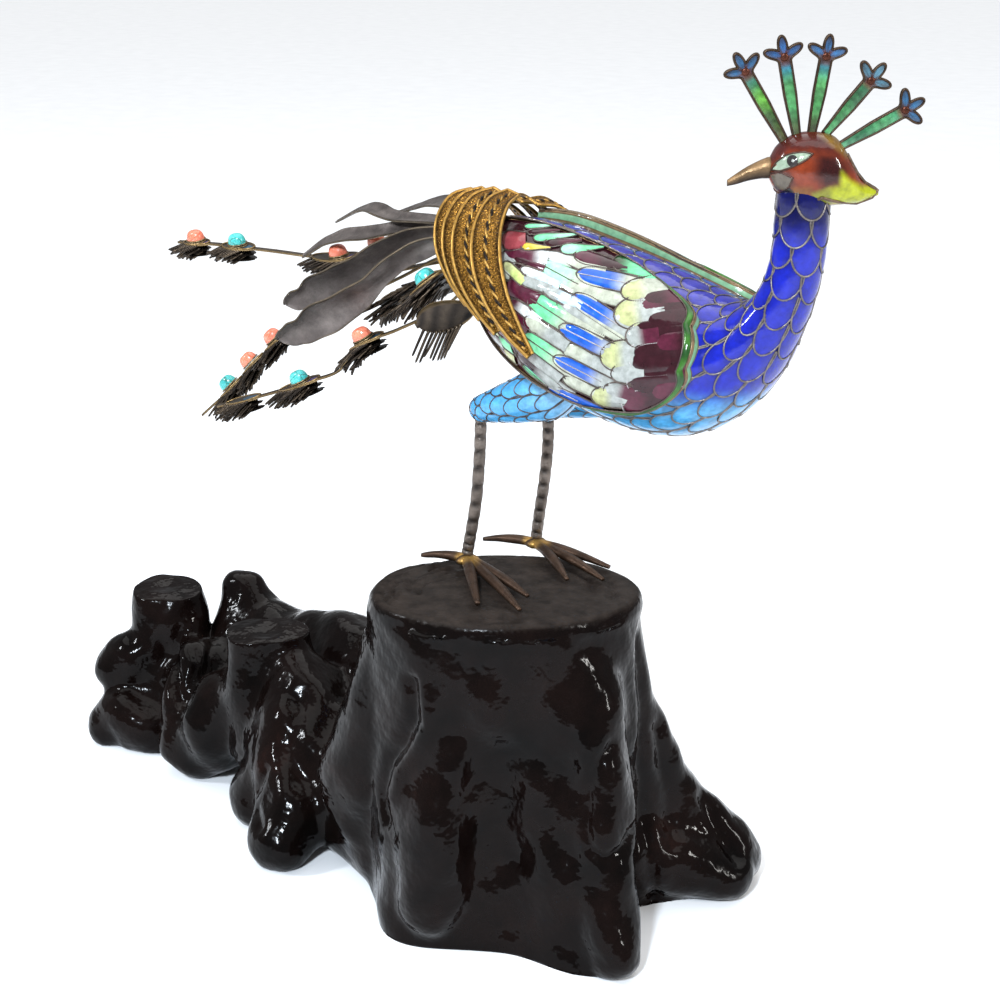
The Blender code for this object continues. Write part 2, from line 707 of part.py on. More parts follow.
# Grey sheet feathers of the tail: rows (x, y, z, half width), the way they spread, and how wavy the edge is.
SHEETS = {
    "sheet_feather_1": ([(-15.7, 12.2, 117.4, 1.0), (-21, 13, 119.2, 1.9), (-31, 16, 118.2, 1.5),
                         (-45, 20, 113.8, 0.35)], (0.1, 0.8, 0.5), 0.05),
    "sheet_feather_2": ([(-15.6, 9.0, 116.6, 0.8), (-24, 10, 116.6, 1.1), (-38, 13, 115.2, 1.5),
                         (-48, 15.5, 115.2, 1.7), (-59, 18, 110.8, 0.35)], (0.1, 0.9, 0.4), 0.05),
    "sheet_feather_3": ([(-15.2, 11.2, 114.9, 0.8), (-24, 12, 114.9, 1.2), (-34, 12.2, 114.0, 1.5),
                         (-44, 12, 111.6, 1.8), (-54, 12, 109.2, 1.9), (-61, 11, 105.0, 0.5)],
                        (0.0, 0.8, 0.6), 0.06),
    "sheet_feather_4": ([(-15.0, 7.4, 113.6, 0.8), (-22, 7.6, 114.6, 1.7), (-30, 6, 112.0, 2.4),
                         (-38, 4.4, 107.4, 2.9), (-45, 3, 103.0, 3.1), (-51.5, 2, 99.8, 2.6),
                         (-55.5, 1.4, 98.2, 1.2)], (0.35, -0.35, 0.85), 0.08),
    "sheet_feather_5": ([(-14.9, 5.6, 112.4, 0.8), (-19.5, 4.4, 113.8, 1.6), (-26, 2.2, 110.4, 2.2),
                         (-32, 0, 105.2, 2.8), (-39, -2, 99.8, 3.2), (-46, -3.4, 95.6, 3.1),
                         (-51.5, -4.2, 93.4, 1.4)], (0.4, -0.35, 0.85), 0.09),
}
SHEET_THICK = 0.55 * MM


def sheet_feather(name, rows, hint, wave):
    hint = Vector(hint)

    def point(u, v):
        p, half, along, across, out = ribbon_frame(rows, u, hint)
        edge = 1 + wave * math.sin(17 * u + 2.2 * v)
        bend = 0.25 * half * (1 - v * v) + wave * half * 1.6 * v * math.sin(11 * u)
        return p + across * half * edge * v + out * bend
    return plate(name, DARK, point, 10, 3, lambda u, v: SHEET_THICK)


for name, (rows, hint, wave) in SHEETS.items():
    sheet_feather(name, rows, hint, wave)

# Fringe plumes: a narrow strip widening into plates, with wire fringes on the plates' outer halves.
# Each: path rows (x, y, z), plates as (place along the path, half length in mm, half width in mm),
# and beads as (plate number, colour).
STEM_HALF = 0.45
FRINGE_HALF = 0.24
PLUME_SHEET = 0.55 * MM
PLUMES = {
    "fringe_plume_1": ([(-14.9, 12.6, 113.2), (-28, 13.6, 112.6), (-43, 14, 108.6), (-53, 13, 105.4),
                        (-72, 12, 104.4), (-86, 11, 103.8), (-97, 10, 103.0)],
                       [(0.34, 4.6, 1.9), (0.50, 5.5, 2.3), (0.76, 4.4, 2.0), (0.92, 4.4, 1.8)],
                       [(0, "coral"), (1, "coral"), (2, "turquoise"), (3, "coral")], (0.1, -1.0, -0.2), 3.4),
    "fringe_plume_2": ([(-14.6, 9.4, 111.3), (-24, 10, 110.0), (-34, 9.6, 105.0), (-50, 9, 97.2), (-62, 8, 91.0),
                        (-70, 7, 84.6), (-77, 5.6, 77.6), (-85, 4, 70.6)],
                       [(0.63, 4.2, 2.0), (0.75, 4.0, 2.0), (0.86, 4.0, 2.2)],
                       [(0, "coral"), (1, "coral"), (2, "turquoise")], (0.5, -1.0, -0.2), 3.6),
    "fringe_plume_3": ([(-13.6, 6.4, 107.8), (-17, 3.0, 103.6), (-25.5, 0.6, 98.8), (-34, -0.6, 94.9),
                        (-38.5, -1, 89.6), (-46, -1.8, 86.2), (-58, -2.4, 81.4), (-71, -3, 76.8)],
                       [(0.40, 4.6, 2.3), (0.74, 4.6, 2.0), (0.92, 3.6, 1.5)],
                       [(0, "coral"), (1, "turquoise")], (0.1, -1.0, -0.3), 3.4),
    "fringe_plume_4": ([(-14.4, 8.0, 110.4), (-16.6, 4.4, 110.0), (-20.0, 2.0, 107.0), (-24.6, 0.4, 103.0)],
                       [(0.62, 3.6, 2.0)], [(0, "turquoise")], (0.5, -1.0, 0.2), 4.0),
    "fringe_plume_5": ([(-14.6, 11.0, 111.6), (-26, 11.6, 108.8), (-38, 11.4, 105.4), (-49, 10.6, 103.4),
                        (-57, 9.6, 101.4)],
                       [(0.78, 6.0, 2.0)], [], (0.2, -1.0, -0.4), 4.6),
    "fringe_plume_6": ([(-13.7, 9.6, 109.2), (-21, 9.0, 107.6), (-28, 8.0, 104.6), (-36, 7.0, 100.4)],
                       [(0.45, 6.0, 2.6), (0.85, 3.4, 1.8)], [], (0.3, -0.9, 0.5), 4.2),
}


def plume_half(u, length, plates):
    half = STEM_HALF
    for middle, half_length, half_width in plates:
        away = (u - middle) * length / half_length
        if abs(away) < 1:
            half = max(half, half_width * (1 - away * away) ** 0.5)
    return half * MM


def path_length(rows):
    points = [spline(rows, (len(rows) - 1) * i / 60)[:3] for i in range(61)]
    return sum(float(np.linalg.norm(b - a)) for a, b in zip(points, points[1:]))


def plume_stops(length, plates, wires):
    """Stations along the path, and those that start a fringe wire's root."""
    root = 2 * FRINGE_HALF / length
    stops = {0.0, 1.0}
    roots = set()
    for middle, half_length, half_width in plates:
        for k in range(-3, wires):
            u = round(middle + (k / (3 if k < 0 else wires - 1)) * half_length / length * 0.94, 4)
            if 0 < u < 1 - root:
                stops.add(u)
                if k >= 0:
                    roots.add(u)
                    stops.add(round(u + root, 4))
    plain = max(2, int(length / 13))
    for k in range(1, plain):
        u = k / plain
        if all(abs(u - q[0]) * length > q[1] + 1.0 for q in plates):
            stops.add(round(u, 4))
    return sorted(stops), roots


def fringe_plume(name, rows, plates, hint, wire, lean, sides=(1, -1), wires=3):
    """lean: how far a wire goes along, outward and down for each millimetre."""
    bm = bmesh.new()
    rows4 = [tuple(r) + (1.0,) for r in rows]
    length = path_length(rows)
    stops, roots = plume_stops(length, plates, wires)
    lines = []
    for u in stops:
        p, one, along, across, out = ribbon_frame(rows4, u, Vector(hint))
        lines.append((u, p, plume_half(u, length, plates), along, across))
    left = [bm.verts.new(p + across * half) for u, p, half, along, across in lines]
    right = [bm.verts.new(p - across * half) for u, p, half, along, across in lines]
    for i in range(len(lines) - 1):
        bm.faces.new((left[i], left[i + 1], right[i + 1], right[i]))
    for i in range(len(lines) - 1):
        u, p, half, along, across = lines[i]
        if u not in roots:
            continue
        for way in sides:
            edge = left if way > 0 else right
            a, b = edge[i], edge[i + 1]
            reach = (along * lean[0] + across * way * lean[1] - Vector((0, 0, lean[2]))) * wire * MM
            far_a = bm.verts.new(a.co + reach)
            far_b = bm.verts.new(b.co + reach)
            bm.faces.new((b, a, far_a, far_b) if way > 0 else (a, b, far_b, far_a))
    obj = add_object(name, bm, DARK, smooth=False)
    skin = obj.modifiers.new("sheet", "SOLIDIFY")
    skin.thickness = PLUME_SHEET
    skin.offset = 0.0
    return obj


BEAD_HALF_LONG = 2.0
BEAD_HALF_WIDE = 1.6
BEAD_TALL = 2.0
BEAD_PROFILE = [(0.0, 0.96), (0.42, 0.97), (0.82, 0.62)]


def bead(name, mat, spot, along, across, out):
    bm = bmesh.new()
    foot_point = spot + out * (PLUME_SHEET / 2 + GAP * 1.3)
    rings = []
    for high, wide in BEAD_PROFILE:
        ring = []
        for k in range(8):
            a = 2 * math.pi * k / 8
            ring.append(foot_point + out * high * BEAD_TALL * MM + along * wide * BEAD_HALF_LONG * MM * math.cos(a)
                        + across * wide * BEAD_HALF_WIDE * MM * math.sin(a))
        rings.append(ring)
    skin_rings(bm, rings)
    bm.verts.ensure_lookup_table()
    bm.verts[-1].co += out * 0.18 * BEAD_TALL * MM
    return add_object(name, bm, mat)


counts = {"coral": 0, "turquoise": 0}
for name, (rows, plates, beads, hint, wire) in PLUMES.items():
    fringe_plume(name, rows, plates, hint, wire, (0.86, 0.42, 0.28))
    for index, colour in beads:
        counts[colour] += 1
        rows4 = [tuple(r) + (1.0,) for r in rows]
        p, one, along, across, out = ribbon_frame(rows4, plates[index][0], Vector(hint))
        if out.z < 0:
            out = -out
        stone = CORAL if colour == "coral" else TURQUOISE
        bead("%s_bead_%d" % (colour, counts[colour]), stone, p, along, across, out)

PADDLE = [(-8.4, 2.9, 105.2), (-12.0, 0.6, 103.8), (-15.5, -0.8, 102.4), (-18.4, -2.0, 101.2)]
fringe_plume("fringe_paddle", PADDLE, [(0.52, 5.2, 3.0)], (0.35, -0.25, 0.9), 4.6, (0.62, 0.5, 0.42), (-1,), 6)

# The bird goes to its stump and midline, then the whole to the middle of its box: X and Y centred,
# the underside on the table.
BIRD_PLACE = Vector((0.0, MIDLINE - DRAWN_MIDLINE, STUMP_HEIGHT - DRAWN_STUMP))
WOOD_NAMES = ("stand", "saw_cut", "below_table")
for obj in list(PARTS.objects) + list(CUTTERS.objects):
    if not obj.name.startswith(WOOD_NAMES):
        obj.location = BIRD_PLACE
bpy.context.view_layer.update()
deps = bpy.context.evaluated_depsgraph_get()
low = Vector((1e9, 1e9, 1e9))
high = Vector((-1e9, -1e9, -1e9))
for obj in PARTS.objects:
    shown = obj.evaluated_get(deps)
    mesh = shown.to_mesh()
    for vert in mesh.vertices:
        spot = obj.matrix_world @ vert.co
        low = Vector(map(min, low, spot))
        high = Vector(map(max, high, spot))
    shown.to_mesh_clear()
SHIFT = Vector((-(low.x + high.x) / 2, -(low.y + high.y) / 2, -low.z))
for obj in list(PARTS.objects) + list(CUTTERS.objects):
    obj.location += SHIFT
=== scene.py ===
import math
import random

import bmesh
import bpy
import numpy as np
from mathutils import Matrix, Vector
from mathutils.bvhtree import BVHTree
from mathutils.geometry import barycentric_transform


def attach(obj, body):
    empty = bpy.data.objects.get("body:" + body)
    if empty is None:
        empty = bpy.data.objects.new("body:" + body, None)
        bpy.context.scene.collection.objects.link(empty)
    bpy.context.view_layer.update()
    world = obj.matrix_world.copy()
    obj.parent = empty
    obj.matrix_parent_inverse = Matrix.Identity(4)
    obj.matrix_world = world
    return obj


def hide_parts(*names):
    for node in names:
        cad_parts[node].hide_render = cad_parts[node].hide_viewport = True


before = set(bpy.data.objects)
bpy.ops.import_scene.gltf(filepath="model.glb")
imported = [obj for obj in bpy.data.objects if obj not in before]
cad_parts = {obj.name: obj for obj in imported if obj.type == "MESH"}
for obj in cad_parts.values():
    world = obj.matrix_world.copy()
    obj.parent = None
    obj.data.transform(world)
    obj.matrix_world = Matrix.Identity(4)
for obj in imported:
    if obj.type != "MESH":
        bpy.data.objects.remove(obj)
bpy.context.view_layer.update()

# The looks of an enamelled metal peacock on a lacquered wood stump.
# Lengths named in millimetres are turned to metres by MM. The bird's rows repeat the solids' own frame:
# the origin on the table under the stump's axis, moved by SHIFT to the middle of the whole box.

MM = 0.001
SHIFT = Vector((23.43 * MM, -6.72 * MM, 0.0))
MIDLINE = 10.0 * MM
STUMP_HEIGHT = 58.0 * MM
VIEW_ANGLE = math.radians(42.0)
LOOK_DOWN = math.radians(20.0)
EYE = Vector((177.25 * MM, -198.35 * MM, 171.0 * MM))
FOCAL_PIXELS = 1700.0
HALF_PICTURE = 500.0


def mm(*values):
    return Vector([v * MM for v in values])


def spline(rows, t):
    """A smooth curve through the rows, t counted in rows."""
    last = len(rows) - 1
    i = min(max(int(math.floor(t)), 0), last - 1)
    f = min(max(t - i, 0.0), 1.0)
    p1 = np.array(rows[i], dtype=float)
    p2 = np.array(rows[i + 1], dtype=float)
    p0 = np.array(rows[i - 1], dtype=float) if i > 0 else 2 * p1 - p2
    p3 = np.array(rows[i + 2], dtype=float) if i + 2 <= last else 2 * p2 - p1
    a = 2 * p1
    b = p2 - p0
    c = 2 * p0 - 5 * p1 + 4 * p2 - p3
    d = -p0 + 3 * p1 - 3 * p2 + p3
    return 0.5 * (a + b * f + c * f * f + d * f * f * f)


def angle_between(a, b):
    return (a - b + 180) % 360 - 180


def smoothstep(low, high, x):
    f = min(max((x - low) / (high - low), 0.0), 1.0)
    return f * f * (3 - 2 * f)


def mix(a, b, f):
    return tuple(x + (y - x) * f for x, y in zip(a, b))


# Camera, light and floor
AHEAD = Vector((-math.sin(VIEW_ANGLE) * math.cos(LOOK_DOWN), math.cos(VIEW_ANGLE) * math.cos(LOOK_DOWN),
                -math.sin(LOOK_DOWN)))
RIGHT = AHEAD.cross(Vector((0, 0, 1))).normalized()
UP = RIGHT.cross(AHEAD)


def sight(px, py):
    """Direction from the eye through a point of the picture, in pixels from its top left corner."""
    return (AHEAD * FOCAL_PIXELS + RIGHT * (px - HALF_PICTURE) + UP * (HALF_PICTURE - py)).normalized()


def make_camera():
    data = bpy.data.cameras.new("camera")
    cam = bpy.data.objects.new("camera", data)
    bpy.context.scene.collection.objects.link(cam)
    data.sensor_width = 36.0
    data.lens = FOCAL_PIXELS * data.sensor_width / (2 * HALF_PICTURE)
    data.clip_start = 0.01
    cam.location = EYE + SHIFT
    cam.rotation_euler = AHEAD.to_track_quat("-Z", "Y").to_euler()
    bpy.context.scene.camera = cam


def area_light(name, spot, target, size, power, color):
    data = bpy.data.lights.new(name, "AREA")
    data.shape = "RECTANGLE"
    data.size = size[0]
    data.size_y = size[1]
    data.energy = power
    data.color = color
    lamp = bpy.data.objects.new(name, data)
    lamp.location = spot
    lamp.rotation_euler = (Vector(target) - Vector(spot)).to_track_quat("-Z", "Y").to_euler()
    bpy.context.scene.collection.objects.link(lamp)


def soft_sun(name, way, strength, degrees, color):
    """Even light from a wide patch of sky, so that the floor stays as bright far off as it is near."""
    data = bpy.data.lights.new(name, "SUN")
    data.energy = strength
    data.angle = math.radians(degrees)
    data.color = color
    lamp = bpy.data.objects.new(name, data)
    lamp.rotation_euler = (-Vector(way)).to_track_quat("-Z", "Y").to_euler()
    bpy.context.scene.collection.objects.link(lamp)


def make_light():
    world = bpy.data.worlds.new("studio")
    bpy.context.scene.world = world
    world.use_nodes = True
    back = world.node_tree.nodes["Background"]
    back.inputs["Color"].default_value = (0.94, 0.97, 1.0, 1.0)
    back.inputs["Strength"].default_value = 0.42
    bpy.context.scene.view_settings.view_transform = "Standard"
    soft_sun("sky_patch", (-0.15, 0.25, 1.0), 2.15, 70.0, (1.0, 0.99, 0.97))
    area_light("window", (0.30, -0.62, 0.62), (0.0, 0.0, 0.06), (0.07, 0.12), 9.0, (0.82, 0.91, 1.0))
    area_light("side_box", (0.75, 0.10, 0.45), (0.0, 0.0, 0.08), (0.03, 0.30), 3.6, (1.0, 0.98, 0.95))
    area_light("left_window", (-0.42, -0.50, 0.55), (0.0, 0.0, 0.04), (0.04, 0.16), 3.6, (0.92, 0.96, 1.0))


# Materials
def new_material(name):
    mat = bpy.data.materials.new(name)
    mat.use_nodes = True
    return mat, mat.node_tree, mat.node_tree.nodes["Principled BSDF"]


def add_node(tree, kind, **settings):
    node = tree.nodes.new(kind)
    for key, value in settings.items():
        if key in node.inputs:
            node.inputs[key].default_value = value
        else:
            setattr(node, key, value)
    return node


def texture(tree, kind, **settings):
    """A texture laid out by the piece's own coordinates."""
    spots = add_node(tree, "ShaderNodeTexCoord")
    made = add_node(tree, kind, **settings)
    tree.links.new(spots.outputs["Object"], made.inputs["Vector"])
    return made


def noise(tree, scale, detail=3.0, rough=0.5):
    return texture(tree, "ShaderNodeTexNoise", Scale=scale, Detail=detail, Roughness=rough).outputs["Fac"]


def ramp(tree, source, stops):
    made = add_node(tree, "ShaderNodeValToRGB")
    bands = made.color_ramp.elements
    while len(bands) < len(stops):
        bands.new(0.5)
    for band, (position, color) in zip(bands, stops):
        band.position = position
        band.color = (*color, 1.0)
    tree.links.new(source, made.inputs["Fac"])
    return made.outputs["Color"]


def greys(dark, bright):
    """A ramp's stops from one grey to another."""
    return [(0.3, (dark,) * 3), (0.7, (bright,) * 3)]


def span(tree, source, band, to):
    """A value spread from one band to another."""
    made = add_node(tree, "ShaderNodeMapRange")
    for key, value in zip(("From Min", "From Max", "To Min", "To Max"), (*band, *to)):
        made.inputs[key].default_value = value
    tree.links.new(source, made.inputs["Value"])
    return made.outputs["Result"]


def blend(tree, a, b, share=None):
    """Colour b over colour a by a share, or their product where no share is given."""
    kind = "MULTIPLY" if share is None else "MIX"
    both = add_node(tree, "ShaderNodeMix", data_type="RGBA", blend_type=kind)
    if share is None:
        both.inputs["Factor"].default_value = 1.0
    else:
        tree.links.new(share, both.inputs["Factor"])
    tree.links.new(a, both.inputs["A"])
    tree.links.new(b, both.inputs["B"])
    return both.outputs["Result"]


def mesh_tint(tree):
    return add_node(tree, "ShaderNodeAttribute", attribute_name="tint").outputs["Color"]


def dress(tree, shader, color, metallic, gloss, height, relief, deep=0.0002):
    """Gives a surface its colour, its uneven roughness and its fine relief."""
    tree.links.new(color, shader.inputs["Base Color"])
    shader.inputs["Metallic"].default_value = metallic
    tree.links.new(gloss, shader.inputs["Roughness"])
    made = add_node(tree, "ShaderNodeBump", Strength=relief, Distance=deep)
    tree.links.new(height, made.inputs["Height"])
    tree.links.new(made.outputs["Normal"], shader.inputs["Normal"])


def bronze():
    """Tarnished metal: colour and gloss vary over the surface, with a fine uneven relief."""
    mat, tree, shader = new_material("bronze")
    stops = [(0.3, (0.05, 0.03, 0.018)), (0.6, (0.24, 0.14, 0.07)), (0.8, (0.4, 0.26, 0.12))]
    dress(tree, shader, ramp(tree, noise(tree, 420, 5.0, 0.65), stops), 1.0,
          span(tree, noise(tree, 966), (0.3, 0.7), (0.3, 0.55)), noise(tree, 1800, 4.0), 0.35)
    return mat


def cell_wire():
    """Wire whose colour is the mesh's tint, a little uneven."""
    mat, tree, shader = new_material("cell_wire")
    shade = ramp(tree, noise(tree, 1200, 4.0, 0.6), greys(0.6, 1.25))
    tree.links.new(blend(tree, mesh_tint(tree), shade), shader.inputs["Base Color"])
    shader.inputs["Metallic"].default_value = 0.85
    shader.inputs["Roughness"].default_value = 0.38
    return mat


def enamel():
    """The tint of each cell, slightly cloudy, under a clear glossy coat."""
    mat, tree, shader = new_material("enamel")
    shade = ramp(tree, noise(tree, 900, 4.0, 0.6), greys(0.62, 1.06))
    dress(tree, shader, blend(tree, mesh_tint(tree), shade), 0.0,
          span(tree, noise(tree, 500), (0.35, 0.7), (0.05, 0.2)), noise(tree, 650, 2.0), 0.35)
    shader.inputs["Specular IOR Level"].default_value = 0.36
    return mat


def worn_metal():
    """Sheet or rod whose colour is the mesh's tint, with blotches of tarnish and a fine uneven relief."""
    mat, tree, shader = new_material("worn_metal")
    shade = ramp(tree, noise(tree, 330, 6.0, 0.65), greys(0.6, 1.3))
    dress(tree, shader, blend(tree, mesh_tint(tree), shade), 0.75,
          span(tree, noise(tree, 800, 4.0), (0.3, 0.7), (0.32, 0.6)), noise(tree, 1700, 5.0, 0.6), 0.4)
    return mat


def stone(name, stops, scale, vein):
    """Polished stone with soft clouds and darker veins."""
    mat, tree, shader = new_material(name)
    cells = texture(tree, "ShaderNodeTexVoronoi", feature="DISTANCE_TO_EDGE", Scale=scale * 1.6)
    lines = ramp(tree, cells.outputs["Distance"], [(0.0, vein), (0.05, (1.0, 1.0, 1.0))])
    dress(tree, shader, blend(tree, ramp(tree, noise(tree, scale, 6.0, 0.6), stops), lines), 0.0,
          span(tree, noise(tree, 900), (0.3, 0.7), (0.16, 0.36)), noise(tree, 1500, 4.0), 0.2)
    shader.inputs["Subsurface Weight"].default_value = 0.08
    shader.inputs["Subsurface Scale"].default_value = 0.001
    return mat


def gold_sheet():
    """Stippled gilt sheet: many small pits and grains, dull in the hollows."""
    mat, tree, shader = new_material("gold_sheet")
    pits = texture(tree, "ShaderNodeTexVoronoi", Scale=2600).outputs["Distance"]
    grain = ramp(tree, pits, [(0.1, (1.5, 1.4, 1.2)), (0.5, (0.55, 0.5, 0.45))])
    dress(tree, shader, blend(tree, mesh_tint(tree), grain), 1.0,
          span(tree, noise(tree, 2200, 4.0), (0.35, 0.65), (0.22, 0.5)), pits, 0.8, 0.0003)
    return mat


def lacquer():
    """Near-black brown lacquer, glossy and a little wavy; the tint's red channel marks the matt top."""
    mat, tree, shader = new_material("lacquer")
    parts = add_node(tree, "ShaderNodeSeparateColor")
    tree.links.new(mesh_tint(tree), parts.inputs["Color"])
    matt = parts.outputs["Red"]
    browns = [(0.35, (0.0016, 0.0011, 0.0010)), (0.62, (0.0050, 0.0026, 0.0022)),
              (0.8, (0.0130, 0.0055, 0.0042))]
    dulls = [(0.3, (0.007, 0.005, 0.004)), (0.7, (0.030, 0.022, 0.018))]
    brown = ramp(tree, noise(tree, 70, 6.0, 0.65), browns)
    dull = ramp(tree, noise(tree, 260, 6.0, 0.7), dulls)
    rough = add_node(tree, "ShaderNodeMath", operation="MULTIPLY_ADD")
    tree.links.new(matt, rough.inputs[0])
    rough.inputs[1].default_value = 0.38
    tree.links.new(span(tree, noise(tree, 180, 5.0, 0.6), (0.35, 0.7), (0.07, 0.2)), rough.inputs[2])
    dress(tree, shader, blend(tree, brown, dull, matt), 0.0, rough.outputs["Value"],
          noise(tree, 170), 0.55, 0.0013)
    shader.inputs["Specular IOR Level"].default_value = 0.09
    return mat


make_camera()
make_light()

BRONZE = bronze()
WIRE = cell_wire()
ENAMEL = enamel()
WORN_METAL = worn_metal()
GOLD_SHEET = gold_sheet()
LACQUER = lacquer()
CORAL = stone("coral_stone",
              [(0.3, (0.50, 0.11, 0.06)), (0.55, (0.72, 0.20, 0.12)), (0.8, (0.85, 0.36, 0.24))],
              240, (0.8, 0.6, 0.5))
TURQUOISE = stone("turquoise_stone",
                  [(0.3, (0.03, 0.28, 0.26)), (0.55, (0.06, 0.44, 0.42)), (0.8, (0.2, 0.6, 0.55))],
                  260, (0.45, 0.35, 0.3))


def make_floor():
    bm = bmesh.new()
    bmesh.ops.create_grid(bm, x_segments=8, y_segments=8, size=3.0)
    mesh = bpy.data.meshes.new("floor")
    bm.to_mesh(mesh)
    bm.free()
    obj = bpy.data.objects.new("floor", mesh)
    obj.location.z = -0.02 * MM
    bpy.context.scene.collection.objects.link(obj)
    mat, tree, shader = new_material("pale_floor")
    paper = ramp(tree, noise(tree, 60.0, 6.0), [(0.3, (0.80, 0.81, 0.83)), (0.7, (0.84, 0.85, 0.87))])
    tree.links.new(paper, shader.inputs["Base Color"])
    shader.inputs["Roughness"].default_value = 0.8
    shader.inputs["Specular IOR Level"].default_value = 0.0
    mesh.materials.append(mat)


# Skins: every piece is gathered as points, tints and faces, and built into one mesh.
def round_angle(k, count):
    return 2 * math.pi * k / count


class Skin:
    """Points with their tints, and faces, gathered for one mesh."""

    def __init__(self, flip=False):
        self.points = []
        self.tints = []
        self.faces = []
        self.flip = flip

    def point(self, spot, tint=(1.0, 1.0, 1.0)):
        self.points.append(spot)
        self.tints.append(tint)
        return len(self.points) - 1

    def sheet(self, grid, around=False):
        """Quads between rows of (point, tint)."""
        rows = [[self.point(*item) for item in row] for row in grid]
        for a, b in zip(rows, rows[1:]):
            count = len(a)
            for k in range(count if around else count - 1):
                n = (k + 1) % count
                self.faces.append((a[k], a[n], b[n], b[k]))
        return rows

    def tube(self, path, radii=None, sides=6, tint=(1.0, 1.0, 1.0), radius=0.0):
        rings = tube_rings(path, radii or [radius] * len(path), sides)
        rows = self.sheet([[(p, tint) for p in ring] for ring in rings], around=True)
        self.faces.append(tuple(reversed(rows[0])))
        self.faces.append(tuple(rows[-1]))

    def line(self, path, radius, sides, tint):
        """Even wire along a path."""
        self.tube(resample(path, 0.3 * MM), None, sides, tint, radius * MM)

    def closed(self, grid):
        """A closed skin over rings of equal count, its ends closed by fans."""
        rows = self.sheet(grid, around=True)
        for row, ring, turned in ((rows[0], grid[0], True), (rows[-1], grid[-1], False)):
            middle = self.point(sum((p for p, tint in ring), Vector()) / len(ring), ring[0][1])
            for k, here in enumerate(row):
                there = row[(k + 1) % len(row)]
                self.faces.append((there, here, middle) if turned else (here, there, middle))

    def form(self, steps, sides, at):
        """A closed form: at(f, a) gives its point and tint at a share f of its length and an angle a."""
        self.closed([[at(i / steps, round_angle(k, sides)) for k in range(sides)] for i in range(steps + 1)])

    def area(self, rows, columns, at):
        """An open sheet: at(f, g) gives its point and tint at shares f and g of its length and width."""
        self.sheet([[at(i / rows, j / columns) for j in range(columns + 1)] for i in range(rows + 1)])

    def build(self, name, mat, slot, replaces=()):
        mesh = bpy.data.meshes.new(name)
        faces = [tuple(reversed(face)) for face in self.faces] if self.flip else self.faces
        mesh.from_pydata([p + SHIFT for p in self.points], [], faces)
        tint = mesh.color_attributes.new("tint", "FLOAT_COLOR", "POINT")
        flat = np.ones((len(self.tints), 4), dtype=np.float32)
        flat[:, :3] = self.tints
        tint.data.foreach_set("color", flat.ravel())
        mesh.shade_smooth()
        mesh.materials.append(mat)
        place(name, mesh, slot, replaces)


def place(name, mesh, slot, replaces=()):
    obj = bpy.data.objects.new(name, mesh)
    bpy.context.scene.collection.objects.link(obj)
    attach(obj, "root")
    if replaces:
        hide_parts(*replaces)


def tube_rings(path, radii, sides, squash=1.0):
    """Round sections square to a path."""
    rings = []
    side = None
    for i, p in enumerate(path):
        ahead = (path[min(i + 1, len(path) - 1)] - path[max(i - 1, 0)]).normalized()
        if side is None:
            start = Vector((0, 0, 1)) if abs(ahead.z) < 0.9 else Vector((1, 0, 0))
            side = ahead.cross(start).normalized()
        side = (side - ahead * side.dot(ahead)).normalized()
        other = ahead.cross(side)
        ring = []
        for k in range(sides):
            a = round_angle(k, sides)
            ring.append(p + (side * math.cos(a) + other * math.sin(a) * squash) * radii[i])
        rings.append(ring)
    return rings


def resample(path, step):
    """The same path with points a step apart."""
    made = [path[0]]
    for a, b in zip(path, path[1:]):
        count = max(1, int(round((b - a).length / step)))
        for k in range(1, count + 1):
            made.append(a.lerp(b, k / count))
    return made


def twisted(skin, path, radius, pitch, sides=5, tint=(1.0, 1.0, 1.0)):
    """Twisted wire: its outline swells and narrows along the path."""
    fine = resample(path, pitch * MM / 2)
    skin.tube(fine, [radius * MM * (1.12 if i % 2 else 0.82) for i in range(len(fine))], sides, tint)


def join_edges(skin, low, high, along, across):
    """Closes a plate's edge between its lower rows, whose points run the other way, and its upper rows."""
    border = [(i, 0) for i in range(along)] + [(along, j) for j in range(across)]
    border += [(i, across) for i in range(along, 0, -1)] + [(0, j) for j in range(across, 0, -1)]
    for (i, j), (k, m) in zip(border, border[1:] + border[:1]):
        skin.faces.append((low[i][across - j], low[k][across - m], high[k][m], high[i][j]))


# Colours of wires and enamels
NECK_WIRE = (0.17, 0.15, 0.14)
DARK_WIRE = (0.10, 0.08, 0.07)
PALE_WIRE = (0.42, 0.40, 0.40)
COBALT = (0.006, 0.014, 0.34)
COBALT_PALE = (0.055, 0.05, 0.33)
SKY = (0.075, 0.33, 0.62)
ICE = (0.50, 0.68, 0.78)
MINT = (0.16, 0.62, 0.30)
MINT_PALE = (0.36, 0.78, 0.50)
IVORY = (0.43, 0.45, 0.36)
GREY_WHITE = (0.34, 0.36, 0.34)
WHITE = (0.62, 0.64, 0.62)
STRAW = (0.44, 0.46, 0.22)
MAROON = (0.030, 0.006, 0.010)
PLUM = (0.078, 0.011, 0.027)
ROSE = (0.28, 0.05, 0.06)
FOREST = (0.014, 0.060, 0.014)
LEAF_GREEN = (0.040, 0.140, 0.022)
WING_BLUE = (0.015, 0.10, 0.50)
WING_BLUE_PALE = (0.12, 0.33, 0.72)

